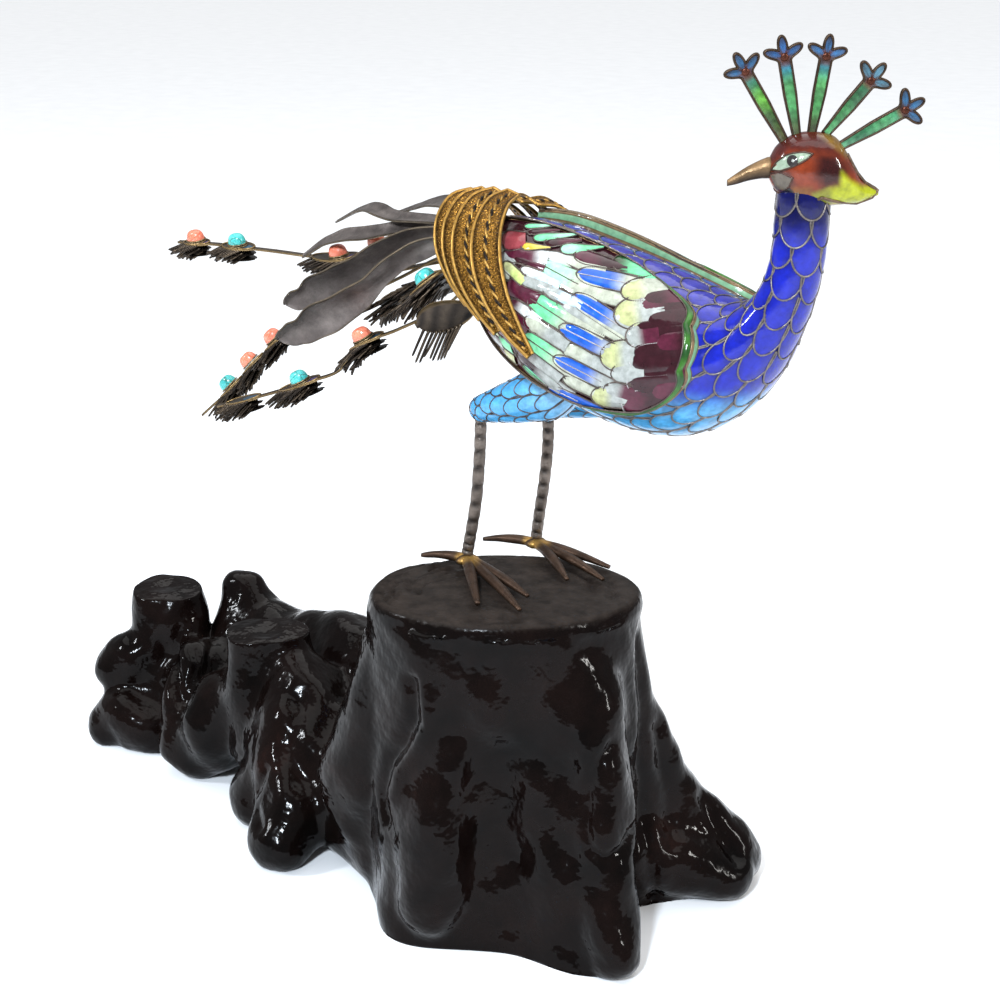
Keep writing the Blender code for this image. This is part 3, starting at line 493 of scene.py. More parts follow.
# Body and neck: the same sections as the solid.
BODY_ROWS = [
    (-15.5, 117.6, -12.3, 106.0, 5.8),
    (-8.0, 118.9, -5.0, 98.8, 9.4),
    (2.0, 118.8, 4.5, 93.4, 12.5),
    (12.0, 117.2, 14.0, 90.7, 14.2),
    (21.5, 115.3, 23.7, 89.6, 14.3),
    (29.6, 113.2, 32.2, 90.9, 13.2),
    (35.4, 111.9, 38.8, 95.2, 10.9),
    (39.4, 112.2, 43.8, 101.4, 8.3),
    (42.0, 114.4, 47.3, 108.2, 6.0),
    (43.5, 118.0, 49.7, 114.6, 4.5),
    (44.0, 122.5, 50.9, 121.0, 3.75),
    (44.0, 127.0, 51.2, 127.2, 3.6),
    (44.1, 130.3, 51.1, 130.3, 3.5),
]
BODY_LAST = len(BODY_ROWS) - 1
TAIL_END_TINT = (0.04, 0.027, 0.018)
SCALE_PITCH = 3.7
SCALE_WIDE = 4.7
SCALE_LAST = 8.0


def body_point(t, phi, lift=0.0):
    """Point on the body: t runs from the tail end to the neck's top, phi from the back round to the left."""
    tx, tz, bx, bz, half = (float(v) * MM for v in spline(BODY_ROWS, t))
    top = Vector((tx, 0.0, tz))
    bottom = Vector((bx, 0.0, bz))
    up = (top - bottom) / 2
    high = up.normalized() * math.cos(phi) * (up.length + lift)
    return (top + bottom) / 2 + high + Vector((0.0, math.sin(phi) * (half + lift) + MIDLINE, 0.0))


def body_tint(p, t, along):
    """Cobalt above, turning to sky blue on the belly and paler below it, with painted shadow just under the
    head.
    """
    height = p.z / MM + 1.2 * along
    blue = mix(COBALT, COBALT_PALE, smoothstep(108, 118, height) * smoothstep(9.0, 5.0, t))
    low = smoothstep(101.5, 96.5, height - 0.35 * max(0.0, 5.0 - t))
    shade = mix(mix(blue, SKY, low), ICE, 0.35 * smoothstep(94, 90, height))
    # Painted shadow: the neck's enamel darkens by up to 80 percent just under the head.
    painted_head_shadow = 1 - 0.8 * smoothstep(121.5, 126.5, p.z / MM)
    return tuple(c * painted_head_shadow for c in shade)


def side_lengths(steps=600):
    """Lengths in mm along the body's side from the tail end, at even steps of t."""
    points = [body_point(BODY_LAST * i / steps, math.pi / 2) for i in range(steps + 1)]
    made = [0.0]
    for a, b in zip(points, points[1:]):
        made.append(made[-1] + (b - a).length / MM)
    return made


SIDE_LENGTHS = side_lengths()
SIDE_PLACES = [BODY_LAST * i / (len(SIDE_LENGTHS) - 1) for i in range(len(SIDE_LENGTHS))]


def body_place(length):
    """The place t at that many mm from the tail end."""
    return float(np.interp(length, SIDE_LENGTHS, SIDE_PLACES))


def scale_outline(s):
    """Half width of a scale, as a share, from its tip (0) to its root (1)."""
    return math.sqrt(max(0.0, 1 - (1 - min(s, 0.5) / 0.5) ** 2))


def scale(skin, wires, surface, spot, size, tint, lift, wire, wire_tint):
    """A scale lying like a shingle: its round tip over the next row, its root under the row before.
    surface(a, b, lift): a along to the root, b across; spot is the middle, size the half lengths."""
    steps, across = 10, 6
    grid = []
    edges = ([], [])
    for i in range(steps + 1):
        s = 1 - math.cos(math.pi / 2 * i / steps) if i < steps else 1.0
        a = spot[0] + size[0] * (2 * s - 1)
        row = []
        for j in range(across + 1):
            v = 2 * j / across - 1
            b = spot[1] + size[1] * v * scale_outline(s)
            dome = 0.30 * (1 - v * v) * min(1.0, s * 3)
            p = surface(a, b, (lift * (1 - s) + dome * (1 - s)) * MM)
            row.append((p, tint(p, a, s, v)))
            if s < 0.75 and j in (0, across):
                edges[0 if j == 0 else 1].append(surface(a, b, (lift * (1 - s) + 0.02) * MM))
        grid.append(row)
    skin.sheet(grid)
    path = list(reversed(edges[0])) + edges[1][1:]
    twisted(wires, path, wire, 0.42, 5, wire_tint)


def scale_tint(p, a, s, v):
    """Painted shade: a scale is darkened at its root, under the row before, and along its edges, so that its
    middle looks lighter.
    """
    shade = body_tint(p, body_place(a), s)
    # Painted shade along the edges and painted shadow at the root under the row before.
    edge = 0.45 * smoothstep(0.5, 1.0, abs(v)) * smoothstep(1.0, 0.3, s)
    root = 0.35 * smoothstep(0.35, 0.75, s)
    return tuple(c * (1 - edge - root) for c in shade)


def make_body():
    skin = Skin()
    wires = Skin()

    def enamelled(f, phi):
        t = BODY_LAST * f
        p = body_point(t, phi)
        shade = body_tint(p, t, 0.0)
        if t < 2.6:
            bands = mix(mix(ROSE, WHITE, smoothstep(0.45, 0.8, t)), WING_BLUE, smoothstep(0.9, 1.3, t))
            bands = mix(bands, SKY, smoothstep(1.9, 2.6, t))
            shade = mix(shade, bands, smoothstep(0.1, -0.5, math.cos(phi)))
        return p, shade if f else TAIL_END_TINT

    def surface(a, b, lift):
        return body_point(body_place(a), b, lift)

    skin.form(96, 72, enamelled)
    rng = random.Random(7)
    length = SIDE_LENGTHS[-1] - 1.5
    row = 0
    while length > SCALE_LAST:
        t = body_place(length)
        girth = sum((body_point(t, round_angle(k + 1, 24)) - body_point(t, round_angle(k, 24))).length
                    for k in range(24))
        count = max(5, int(round(girth / (SCALE_WIDE * MM))))
        for k in range(count):
            phi = round_angle(k + 0.5 * (row % 2), count)
            under_tail = t < 2.7 and math.cos(phi) < 0.35
            under_leaves = t < 1.2 and math.cos(phi) < 0.8
            if under_tail or under_leaves:
                continue
            jitter = rng.uniform(-0.06, 0.06)
            spot = (length + SCALE_PITCH * (0.30 + jitter), phi + jitter * 0.1)
            size = (SCALE_PITCH * 0.95, round_angle(0.54, count))
            scale(skin, wires, surface, spot, size, scale_tint, 0.30, 0.16, NECK_WIRE)
        length -= SCALE_PITCH
        row += 1
    skin.build("body_enamel", ENAMEL, "cobalt_enamel", ("body",))
    wires.build("body_wires", WIRE, "dark_silver")


make_body()

# Wings: a plate on each side with feather cells laid on it, the same way round as the solid's.
# Heights over the body, lengths and widths are in mm.
WING_LIFT = 0.7
WING_TOP = WING_LIFT + 1.0
CELL_FLOOR = WING_TOP - 0.22
WING_FRONT = 6.05
WING_REAR = 0.95
WING_LONG = 50.0
WING_TALL = 29.0
MIRROR_EDGE = 0.7
BORDER_WIDTH = 1.25
BORDER_RISE = 0.26
# The strip round the wing's edge: share of the height, how far it stands out, and colour
SKIRT = [
    (0.0, 0.0, (0.05, 0.03, 0.018)),
    (0.2, 0.12, (0.17, 0.11, 0.055)),
    (0.3, 0.14, (0.10, 0.06, 0.03)),
    (0.36, 0.13, (0.14, 0.30, 0.17)),
    (0.74, 0.13, (0.20, 0.38, 0.22)),
    (0.8, 0.14, (0.10, 0.06, 0.03)),
    (0.9, 0.16, (0.22, 0.14, 0.07)),
    (1.0, 0.05, (0.17, 0.11, 0.055)),
]


def wing_map(u, v):
    """Gives t and phi in degrees: u runs from the rear to the front, v from the top to the lower edge."""
    top = -13 - 7 * (2 * u - 1) ** 2
    low = -128 + 10 * u
    lobes = 0.16 * abs(math.sin(math.pi * (0.15 + 2.7 * v)))
    bow = 1.0 - (2 * v - 1) ** 4 * 0.32
    t = WING_REAR + (WING_FRONT - WING_REAR) * u * bow + lobes * u ** 6
    t += 0.35 * (1 - u) * (2 * v - 1) ** 2
    return t, top + (low - top) * v


def wing_point(u, v, lift, mirror=False):
    u = min(max(u, 0.0), 1.0)
    v = min(max(v, 0.0), 1.0)
    t, phi = wing_map(u, v)
    edge = max(0.0, 1 - v / 0.18) * (MIRROR_EDGE if mirror else 0.0) * math.sin(math.pi * min(1.0, u * 1.1))
    p = body_point(t, math.radians(phi), (lift + edge) * MM)
    if mirror:
        p.y = 2 * MIDLINE - p.y
    return p


class Chart:
    """Finds the place (u, v) of a surface that the camera sees at a point of the picture."""

    def __init__(self, surface, steps=48):
        self.points = []
        self.places = []
        self.triangles = []
        self.known = {}
        for i in range(steps + 1):
            for j in range(steps + 1):
                self.places.append(Vector((i / steps, j / steps, 0.0)))
                self.points.append(surface(i / steps, j / steps))
        for i in range(steps):
            for j in range(steps):
                a = i * (steps + 1) + j
                b = a + steps + 1
                self.triangles.append((a, b, b + 1))
                self.triangles.append((a, b + 1, a + 1))
        self.tree = BVHTree.FromPolygons(self.points, self.triangles)
        self.array = np.array([tuple(p) for p in self.points])

    def find(self, px, py):
        key = (round(px, 2), round(py, 2))
        if key not in self.known:
            way = sight(px, py)
            hit, normal, index, distance = self.tree.ray_cast(EYE, way)
            if hit is None:
                off = self.array - np.array(EYE)
                line = np.array(way)
                gap = np.linalg.norm(off - np.outer(off @ line, line), axis=1)
                self.known[key] = self.places[int(np.argmin(gap))]
            else:
                corners = self.triangles[index]
                self.known[key] = barycentric_transform(hit, *[self.points[c] for c in corners],
                                                        *[self.places[c] for c in corners])
        return self.known[key]


WING_CHART = Chart(lambda u, v: wing_point(u, v, WING_TOP))


def wing_spot(px, py, lift, mirror):
    found = WING_CHART.find(px, py)
    return wing_point(found.x, found.y, CELL_FLOOR + lift, mirror)


def rear_spot(x, y, lift, mirror):
    """The same for the rear part, which the leaves hide in the picture: x and y in mm over the wing."""
    return wing_point(x / WING_LONG, y / WING_TALL, CELL_FLOOR + lift, mirror)


def feather(skin, wires, mirror, tip, root, half, lift, tints, turn=0.45, bend=0.0, rib=None, blunt=0.3,
            narrow=0.0, wire=0.15, wire_tint=DARK_WIRE, spot=wing_spot):
    """A feather cell laid out in the picture: tip and root points and half width in pixels.
    tints: colour at the tip and at the root; turn: where the one passes to the other."""
    tip = Vector(tip)
    root = Vector(root)
    along = root - tip
    side = Vector((-along.y, along.x)).normalized()
    steps, across = 14, 6
    grid = []
    edges = ([], [])
    middle = []
    for i in range(steps + 1):
        s = (i / steps) ** 1.3
        width = half * math.sqrt(max(0.0, 1 - (1 - min(s, blunt) / blunt) ** 2)) * (1 - narrow * s)
        centre = tip + along * s + side * bend * 4 * s * (1 - s)
        row = []
        for j in range(across + 1):
            v = 2 * j / across - 1
            q = centre + side * width * v
            dome = 0.26 * (1 - abs(v) ** 2.5) * min(1.0, s / 0.15)
            if rib:
                dome *= min(1.0, 0.45 + abs(v) * 1.6)
            shade = mix(tints[0], tints[1], smoothstep(turn - 0.14, turn + 0.14, s))
            # Painted shade: each cell darkens by up to 35 percent towards its side edges.
            shade = tuple(c * (1 - 0.35 * smoothstep(0.55, 1.0, abs(v))) for c in shade)
            row.append((spot(q.x, q.y, lift + dome, mirror), shade))
            if j in (0, across):
                edges[0 if j == 0 else 1].append(spot(q.x, q.y, lift + 0.04, mirror))
            if j == across // 2:
                middle.append(spot(q.x, q.y, lift + 0.14, mirror))
        grid.append(row)
    skin.sheet(grid)
    twisted(wires, list(reversed(edges[0])) + edges[1][1:], wire, 0.34, 5, wire_tint)
    if rib:
        count = max(3, int(len(middle) * (turn + 0.25)))
        twisted(wires, middle[1:count], wire * 0.75, 0.34, 5, rib)


# Rear cells first, so that each further group lies over the one behind it.
# Each: tip, root, half width, the two tints, and where it matters a bend, a rib or a blunter tip.
REAR_CELLS = [
    ((505, 283), (538, 300), 10, (PLUM, PLUM), {}),
    ((500, 305), (528, 330), 9, (MAROON, PLUM), {}),
    ((503, 330), (528, 358), 8, (MAROON, MAROON), {}),
    ((509, 300), (540, 322), 6, (PLUM, WHITE), {"turn": 0.3}),
    ((503, 252), (548, 258), 9, (PLUM, WHITE), {"turn": 0.75}),
    ((511, 257), (545, 268), 4, (MAROON, PLUM), {"turn": 0.6}),
    ((520, 268), (560, 285), 6, (WHITE, ICE), {}),
    ((519, 278), (552, 289), 6.5, (GREY_WHITE, GREY_WHITE), {}),
    ((503, 262), (524, 282), 5.5, (STRAW, (0.5, 0.6, 0.2)), {}),
    ((543, 288), (582, 306), 7, (GREY_WHITE, ICE), {}),
    ((524, 318), (568, 346), 8, (IVORY, GREY_WHITE), {}),
    ((514, 345), (560, 380), 6, (PLUM, GREY_WHITE), {"turn": 0.35}),
    ((516, 352), (560, 392), 5, (MAROON, GREY_WHITE), {"turn": 0.5}),
]
MINT_CELLS = [
    ((539, 263), (600, 296), 13, (MINT_PALE, IVORY), {"turn": 0.5}),
    ((528, 297), (600, 344), 13, (MINT, IVORY), {"turn": 0.42}),
    ((522, 335), (590, 382), 11.5, (MINT, IVORY), {"turn": 0.42}),
    ((521, 361), (572, 398), 6.5, (MINT, GREY_WHITE), {"turn": 0.5}),
]
IVORY_CELLS = [
    ((541, 253), (606, 270), 6.5, (WHITE, IVORY), {"turn": 0.4}),
    ((560, 283), (640, 305), 8, (IVORY, IVORY), {}),
    ((556, 300), (628, 340), 8, (GREY_WHITE, IVORY), {}),
    ((560, 345), (618, 376), 8, (IVORY, GREY_WHITE), {}),
    ((562, 378), (610, 400), 6, (IVORY, IVORY), {}),
]
BLUE_CELLS = [
    ((576, 273), (645, 287), 9.5, (WING_BLUE, IVORY), {"turn": 0.62}),
    ((572, 295), (632, 334), 9.5, (WING_BLUE, GREY_WHITE), {"turn": 0.62}),
    ((559, 326), (625, 359), 9.0, (WING_BLUE, GREY_WHITE), {"turn": 0.6}),
    ((553, 357), (612, 387), 7.5, (WING_BLUE, GREY_WHITE), {"turn": 0.66}),
    ((547, 386), (602, 412), 4.6, (WING_BLUE, WING_BLUE), {}),
]
TOP_CELLS = [
    ((524, 226), (558, 225), 3.24, (MINT, MINT_PALE), {"narrow": 0.8}),
    ((527, 232), (560, 230), 3.51, (MAROON, PLUM), {"narrow": 0.8}),
    ((533, 238), (579, 234), 5.4, (MINT, MINT_PALE), {"narrow": 0.85}),
    ((544, 243), (582, 240), 5.4, (MAROON, PLUM), {"narrow": 0.8}),
    ((560, 249), (604, 247), 7.425, (MINT_PALE, MINT), {"narrow": 0.9}),
    ((574, 254), (628, 268), 8.775, (PLUM, MAROON), {"narrow": 0.6}),
    ((612, 260), (672, 291), 11.475, (FOREST, MINT), {"narrow": 0.75, "turn": 0.25, "bend": -4}),
    ((501, 241), (526, 240), 12.15, (ROSE, ROSE), {"blunt": 0.5, "narrow": 0.35}),
    ((521, 246), (551, 248), 5.4, ((0.62, 0.45, 0.05), (0.62, 0.5, 0.12)), {"narrow": 0.9}),
]
SHOULDER_CELLS = [
    ((591, 395), (630, 398), 11, (STRAW, GREY_WHITE), {}),
    ((600, 357), (645, 355), 16, (STRAW, GREY_WHITE), {}),
    ((611, 374), (645, 372), 11, (GREY_WHITE, GREY_WHITE), {}),
    ((604, 388), (640, 398), 10, (GREY_WHITE, PLUM), {}),
    ((614, 317), (665, 308), 17, (STRAW, GREY_WHITE), {}),
    ((621, 293), (668, 286), 12, (STRAW, IVORY), {}),
    ((626, 338), (660, 333), 13, (GREY_WHITE, PLUM), {}),
]
MAROON_CELLS = [
    ((633, 330), (690, 326), 15, (MAROON, MAROON), {}),
    ((627, 384), (690, 380), 15, (MAROON, MAROON), {}),
    ((636, 308), (690, 304), 13, (PLUM, MAROON), {}),
    ((628, 354), (690, 352), 15, (MAROON, MAROON), {}),
    ((622, 404), (672, 404), 15, (PLUM, MAROON), {}),
    ((641, 300), (700, 296), 15, (MAROON, PLUM), {}),
    ((630, 362), (672, 358), 16, (MAROON, MAROON), {}),
    ((645, 322), (698, 316), 15, (MAROON, MAROON), {}),
    ((654, 345), (704, 341), 16, (PLUM, MAROON), {}),
    ((650, 392), (700, 388), 15, (PLUM, PLUM), {}),
    ((664, 374), (708, 371), 15, (MAROON, PLUM), {}),
]
# Cells, height of the first one, rise from one to the next, and what they share
WING_LAYERS = [
    (REAR_CELLS, 0.00, 0.011, {}),
    (MINT_CELLS, 0.05, 0.004, {"rib": DARK_WIRE}),
    (IVORY_CELLS, 0.02, 0.012, {}),
    (BLUE_CELLS, 0.14, 0.006, {"rib": PALE_WIRE}),
    (TOP_CELLS, 0.10, 0.010, {}),
    (SHOULDER_CELLS, 0.20, 0.012, {"blunt": 0.5}),
    (MAROON_CELLS, 0.24, 0.008, {"blunt": 0.5, "wire_tint": PALE_WIRE, "wire": 0.13}),
]


def wing_rim(count=90):
    """The wing's outline as (u, v) places, from the top edge round the front to the lower rear."""
    steps = [k / count for k in range(1, count + 1)]
    return ([(0.0, 0.0)] + [(s, 0.0) for s in steps] + [(1.0, s) for s in steps]
            + [(1 - s, 1.0) for s in steps] + [(0.0, 1 - s) for s in steps[:-1]])


def inset_place(u, v, inwards, mirror):
    """A place moved from the rim towards the wing's middle by that length."""
    here = wing_point(u, v, WING_TOP, mirror)
    aim = (min(max(u, 0.28), 0.72), min(max(v, 0.25), 0.75))
    f = min(1.0, inwards * MM / (here - wing_point(*aim, WING_TOP, mirror)).length)
    return u + (aim[0] - u) * f, v + (aim[1] - v) * f


def wing_skirt(rim, mirror):
    """Rows of the strip that closes the wing's edge down to the body: bronze, pale green, bronze."""
    rows = []
    for u, v in rim:
        t, phi = wing_map(u, v)
        foot = body_point(t, math.radians(phi), 0.02 * MM)
        if mirror:
            foot.y = 2 * MIDLINE - foot.y
        top = wing_point(u, v, WING_TOP + 0.08, mirror)
        inner = wing_point(*inset_place(u, v, 1.0, mirror), WING_TOP, mirror)
        out = (wing_point(u, v, WING_TOP, mirror) - inner).normalized()
        rows.append([(foot.lerp(top, share) + out * bulge * MM, tint) for share, bulge, tint in SKIRT])
    return rows


def wing_border(skin, wires, mirror):
    """The border laid over the cells' ends, wide and green in front, and its two wires."""
    rim = wing_rim()
    band = []
    outer = []
    inner = []
    for u, v in rim:
        front = u > 0.72 and (u > 0.98 or v > 0.5)
        wide = BORDER_WIDTH if front else 0.45
        level = WING_TOP + (BORDER_RISE if front else 0.12)
        shade = mix(FOREST, LEAF_GREEN, 0.5 + 0.5 * math.sin(31 * v)) if front else (0.16, 0.12, 0.08)
        row = []
        for share, rise in ((0.0, -0.05), (0.2, 0.20), (0.5, 0.32), (0.8, 0.28), (1.0, 0.12)):
            row.append((wing_point(*inset_place(u, v, wide * share, mirror), level + rise, mirror), shade))
        band.append(row)
        outer.append(wing_point(u, v, WING_TOP + 0.10, mirror))
        inner.append(wing_point(*inset_place(u, v, wide, mirror), level + 0.16, mirror))
    skin.sheet(band + band[:1])
    twisted(wires, outer + outer[:1], 0.17, 0.4, 6, (0.17, 0.12, 0.07))
    twisted(wires, inner + inner[:1], 0.14, 0.36, 5, DARK_WIRE)
    skin.sheet(wing_skirt(rim + rim[:1], mirror))


def make_wing(side, mirror):
    skin = Skin(flip=mirror)
    wires = Skin(flip=mirror)
    plate = Skin(flip=mirror)
    along, across = 48, 36

    def face(lift, tint, margin=0.0):
        inner = 1 - 2 * margin
        return [[(wing_point(margin + inner * i / along, margin + inner * j / across, lift, mirror), tint)
                 for j in range(across + 1)] for i in range(along + 1)]

    metal = (0.30, 0.22, 0.14)
    low = plate.sheet([list(reversed(row)) for row in face(WING_LIFT, metal)])
    high = plate.sheet(face(WING_TOP - 0.24, metal))
    join_edges(plate, low, high, along, across)
    plate.build("wing_plate_" + side, BRONZE, "wing_enamel", ("wing_" + side,))
    skin.sheet(face(WING_TOP - 0.225, MAROON, 0.01))
    tints = [PLUM, GREY_WHITE, MAROON, MINT, IVORY, PLUM, STRAW, MAROON]
    for column, (back, front) in enumerate(((0.6, 7.0), (4.6, 10.6))):
        for k in range(9):
            y = 6.0 + 2.5 * k + 1.2 * column
            pick = 3 * k + 5 * column
            feather(skin, wires, mirror, (back, y), (front, y - 0.6), 1.3, -0.06 + 0.008 * k + 0.02 * column,
                    (tints[pick % 8], tints[(pick + 1) % 8]), spot=rear_spot)
    for cells, lift, step, shared in WING_LAYERS:
        for k, (tip, root, half, tints, own) in enumerate(cells):
            feather(skin, wires, mirror, tip, root, half, lift + step * k, tints, **{**shared, **own})
    wing_border(skin, wires, mirror)
    skin.build("wing_enamel_" + side, ENAMEL, "wing_enamel")
    wires.build("wing_wires_" + side, WIRE, "dark_silver")


# Places in the picture, for the pieces whose colours are laid out by the photograph
def picture_place(p):
    """Where the eye sees a point, in pixels."""
    off = p - EYE
    far = off.dot(AHEAD)
    return Vector((HALF_PICTURE + FOCAL_PIXELS * off.dot(RIGHT) / far,
                   HALF_PICTURE - FOCAL_PIXELS * off.dot(UP) / far))


def edge_distance(outline, x, y):
    """Distance in pixels from a closed outline, positive inside."""
    inside = False
    best = 1e9
    for (ax, ay), (bx, by) in zip(outline, outline[1:] + outline[:1]):
        if (ay > y) != (by > y) and x < (bx - ax) * (y - ay) / (by - ay) + ax:
            inside = not inside
        dx, dy = bx - ax, by - ay
        f = min(max(((x - ax) * dx + (y - ay) * dy) / (dx * dx + dy * dy), 0.0), 1.0)
        best = min(best, math.hypot(ax + dx * f - x, ay + dy * f - y))
    return best if inside else -best


# Head, beak and crest lie in one upright plane, square to the view.
HEAD_SPOT = Vector((47.6 * MM, MIDLINE, 0.0))
HEAD_BACK = Vector((math.cos(VIEW_ANGLE), math.sin(VIEW_ANGLE), 0.0))
HEAD_SIDE = Vector((math.sin(VIEW_ANGLE), -math.cos(VIEW_ANGLE), 0.0))
HEAD_SLICES = [
    (-5.0, 134.6, 131.4, 1.4),
    (-4.2, 136.0, 130.0, 2.7),
    (-2.9, 137.1, 128.9, 3.7),
    (-1.0, 137.9, 128.0, 4.5),
    (1.5, 138.0, 127.6, 4.9),
    (4.0, 137.3, 127.7, 4.6),
    (6.0, 134.8, 127.9, 3.7),
    (7.6, 131.9, 128.1, 2.6),
    (9.0, 130.6, 128.6, 1.6),
    (10.5, 129.9, 129.1, 0.6),
]
HEAD_LAST = len(HEAD_SLICES) - 1


def head_place(back, z, side=0.0):
    return HEAD_SPOT + HEAD_BACK * back * MM + HEAD_SIDE * side * MM + Vector((0, 0, z * MM))


def head_point(t, phi, lift=0.0):
    back, top, low, half = spline(HEAD_SLICES, t)
    tall = (top - low) / 2 + lift
    return head_place(back, (top + low) / 2 + tall * math.cos(phi), (half + lift) * math.sin(phi))


def head_top(back):
    for i in range(200):
        row = spline(HEAD_SLICES, HEAD_LAST * i / 200)
        if row[0] >= back:
            return row[1]
    return HEAD_SLICES[-1][1]


# Colour zones of the head, outlines in pixels: colour and how soft the edge is.
HEAD_ZONES = [
    ([(760, 160), (775, 140), (800, 130), (832, 132), (856, 152), (830, 152), (812, 150), (790, 151),
      (770, 166)], (0.062, 0.011, 0.009), 6.0),
    ([(768, 166), (776, 176), (770, 200), (792, 200), (796, 186), (790, 172)], (0.10, 0.022, 0.014), 3.0),
    ([(818, 134), (836, 134), (856, 152), (846, 158), (832, 146)], (0.17, 0.09, 0.02), 3.5),
    ([(818, 154), (838, 154), (850, 170), (842, 186), (824, 190), (814, 174)], (0.026, 0.004, 0.004), 9.0),
    ([(792, 188), (812, 188), (806, 206), (794, 204)], (0.20, 0.075, 0.015), 4.0),
    ([(770, 175), (782, 172), (793, 178), (788, 190), (776, 190)], (0.11, 0.09, 0.07), 1.0),
    ([(842, 172), (850, 180), (862, 186), (880, 186), (880, 196), (862, 206), (835, 204), (816, 197),
      (828, 189), (840, 186)], (0.34, 0.37, 0.010), 4.0),
    ([(812, 193), (830, 188), (832, 206), (812, 202)], (0.20, 0.20, 0.02), 3.0),
    # The last zone is painted shadow: a near-black patch in the notch under the head, between throat and
    # cheek.
    ([(776, 194), (789, 187), (794, 192), (798, 210), (776, 210)], (0.012, 0.010, 0.012), 1.2),
]
HEAD_BASE = (0.185, 0.028, 0.008)
HEAD_RIM = [(847, 154), (852, 164), (857, 173), (866, 182), (877.5, 190.5), (872, 197), (856, 203.5),
            (838, 201.5), (822, 197.5), (808, 203)]
EYE_OUTLINE = [(769.5, 170), (776, 162.5), (784.5, 156.2), (793, 153.4), (804, 152.3), (813, 154.2),
               (807, 159.5), (799, 163.8), (790, 167.8), (780, 171)]
PUPIL = (792, 161.2, 5.6)


def head_tint(p):
    """Colour of the head's enamel, with a painted shadow in the notch under the head; the far side repeats
    the near one.
    """
    side = (p - HEAD_SPOT).dot(HEAD_SIDE)
    seen = picture_place(p - HEAD_SIDE * (side - abs(side)))
    shade = HEAD_BASE
    for outline, color, soft in HEAD_ZONES:
        shade = mix(shade, color, smoothstep(-soft, soft, edge_distance(outline, seen.x, seen.y)))
    return shade


HEAD_CHART = Chart(lambda u, v: head_point(u * HEAD_LAST, v * math.pi))


def head_spot(px, py, lift, mirror):
    found = HEAD_CHART.find(px, py)
    return head_point(found.x * HEAD_LAST, found.y * math.pi * (-1 if mirror else 1), lift)


def patch(skin, outline, spot, tint, lift, dome, mirror, rings=5):
    """A domed cell inside an outline given in pixels."""
    middle = (sum(p[0] for p in outline) / len(outline), sum(p[1] for p in outline) / len(outline))
    grid = []
    for i in range(rings + 1):
        s = max(i / rings, 0.02)
        row = []
        for x, y in outline + outline[:1]:
            q = (middle[0] + (x - middle[0]) * s, middle[1] + (y - middle[1]) * s)
            row.append((spot(q[0], q[1], lift + dome * (1 - s * s), mirror), tint))
        grid.append(row if mirror else list(reversed(row)))
    skin.sheet(grid)


def circle(x, y, radius, count=20):
    angles = [round_angle(k, count) for k in range(count)]
    return [(x + radius * math.cos(a), y + radius * math.sin(a)) for a in angles]


# Patches of the eye: outline, colour, height over the head and height of the dome in mm
EYE_PATCHES = [
    (EYE_OUTLINE, (0.27, 0.34, 0.25), 0.10, 0.12),
    (circle(*PUPIL), (0.035, 0.03, 0.03), 0.24, 0.10),
    (circle(PUPIL[0] + 0.5, PUPIL[1], 1.5, 10), (0.40, 0.42, 0.38), 0.36, 0.05),
]
# Wires of the head: outline, height over the head in mm, radius in mm, sides and colour
HEAD_WIRES = [
    (EYE_OUTLINE + EYE_OUTLINE[:1], 0.12, 0.14, 6, (0.07, 0.04, 0.03)),
    (HEAD_RIM, 0.05, 0.26, 8, (0.12, 0.08, 0.055)),
    ([(769, 173), (781, 172.5), (793, 178), (789, 187), (779, 193), (775, 190), (769, 173)], 0.05, 0.13, 6,
     (0.10, 0.05, 0.04)),
]


def make_head():
    skin = Skin()
    wires = Skin()

    def enamelled(f, phi):
        p = head_point(HEAD_LAST * f, phi)
        return p, head_tint(p)

    skin.form(110, 110, enamelled)
    for mirror in (False, True):
        for outline, tint, lift, dome in EYE_PATCHES:
            patch(skin, outline, head_spot, tint, lift, dome, mirror)
        for outline, lift, radius, sides, tint in HEAD_WIRES:
            wires.line([head_spot(x, y, lift, mirror) for x, y in outline], radius, sides, tint)
    skin.build("head_enamel", ENAMEL, "head_enamel", ("head",))
    wires.build("head_wires", WIRE, "dark_silver")


BEAK_SLICES = [
    (-5.3, 133.0, 1.5, 1.35),
    (-6.4, 132.75, 1.3, 1.2),
    (-8.0, 132.2, 1.05, 0.9),
    (-9.6, 131.45, 0.78, 0.65),
    (-10.9, 130.85, 0.45, 0.4),
]


def make_beak():
    skin = Skin()
    steps, sides = 30, 28
    grid = []
    for i in range(-1, steps + 1):
        back, z, tall, half = spline(BEAK_SLICES, 4 * max(i, 0) / steps)
        back += 1.0 if i < 0 else 0.0
        ring = []
        for k in range(sides):
            a = round_angle(k, sides)
            from_top = abs(angle_between(math.degrees(a), 0))
            mouth = 0.07 * math.exp(-((from_top - 104) / 9.0) ** 2)
            p = head_place(back, z + (tall - mouth) * math.cos(a), (half - mouth) * math.sin(a))
            ring.append((p, mix((0.19, 0.115, 0.055), (0.05, 0.033, 0.020), smoothstep(60, 120, from_top))))
        grid.append(ring)
    skin.closed(grid)
    skin.build("beak_metal", WORN_METAL, "bronze", ("beak",))


# Crest: each plume is a strip with three petals, enamelled on both faces inside a brown rim.
PLUME_HALF = 1.0
PLUME_FOOT_HALF = 0.7
PLUME_ROOT = 0.7
FORK_REACH = 1.15
PETAL_REACH = 3.05
PETAL_TURN = 66
CREST_FOOT_GAP = 0.3
RIM_INSET = 0.18
# Each plume's foot, how far back it stands on the head, and its fork's place: back and height
CREST = [
    (-3.4, -9.1, 146.2),
    (-1.6, -3.8, 148.2),
    (0.7, 2.0, 148.3),
    (3.0, 8.4, 145.0),
    (5.2, 13.5, 141.0),
]
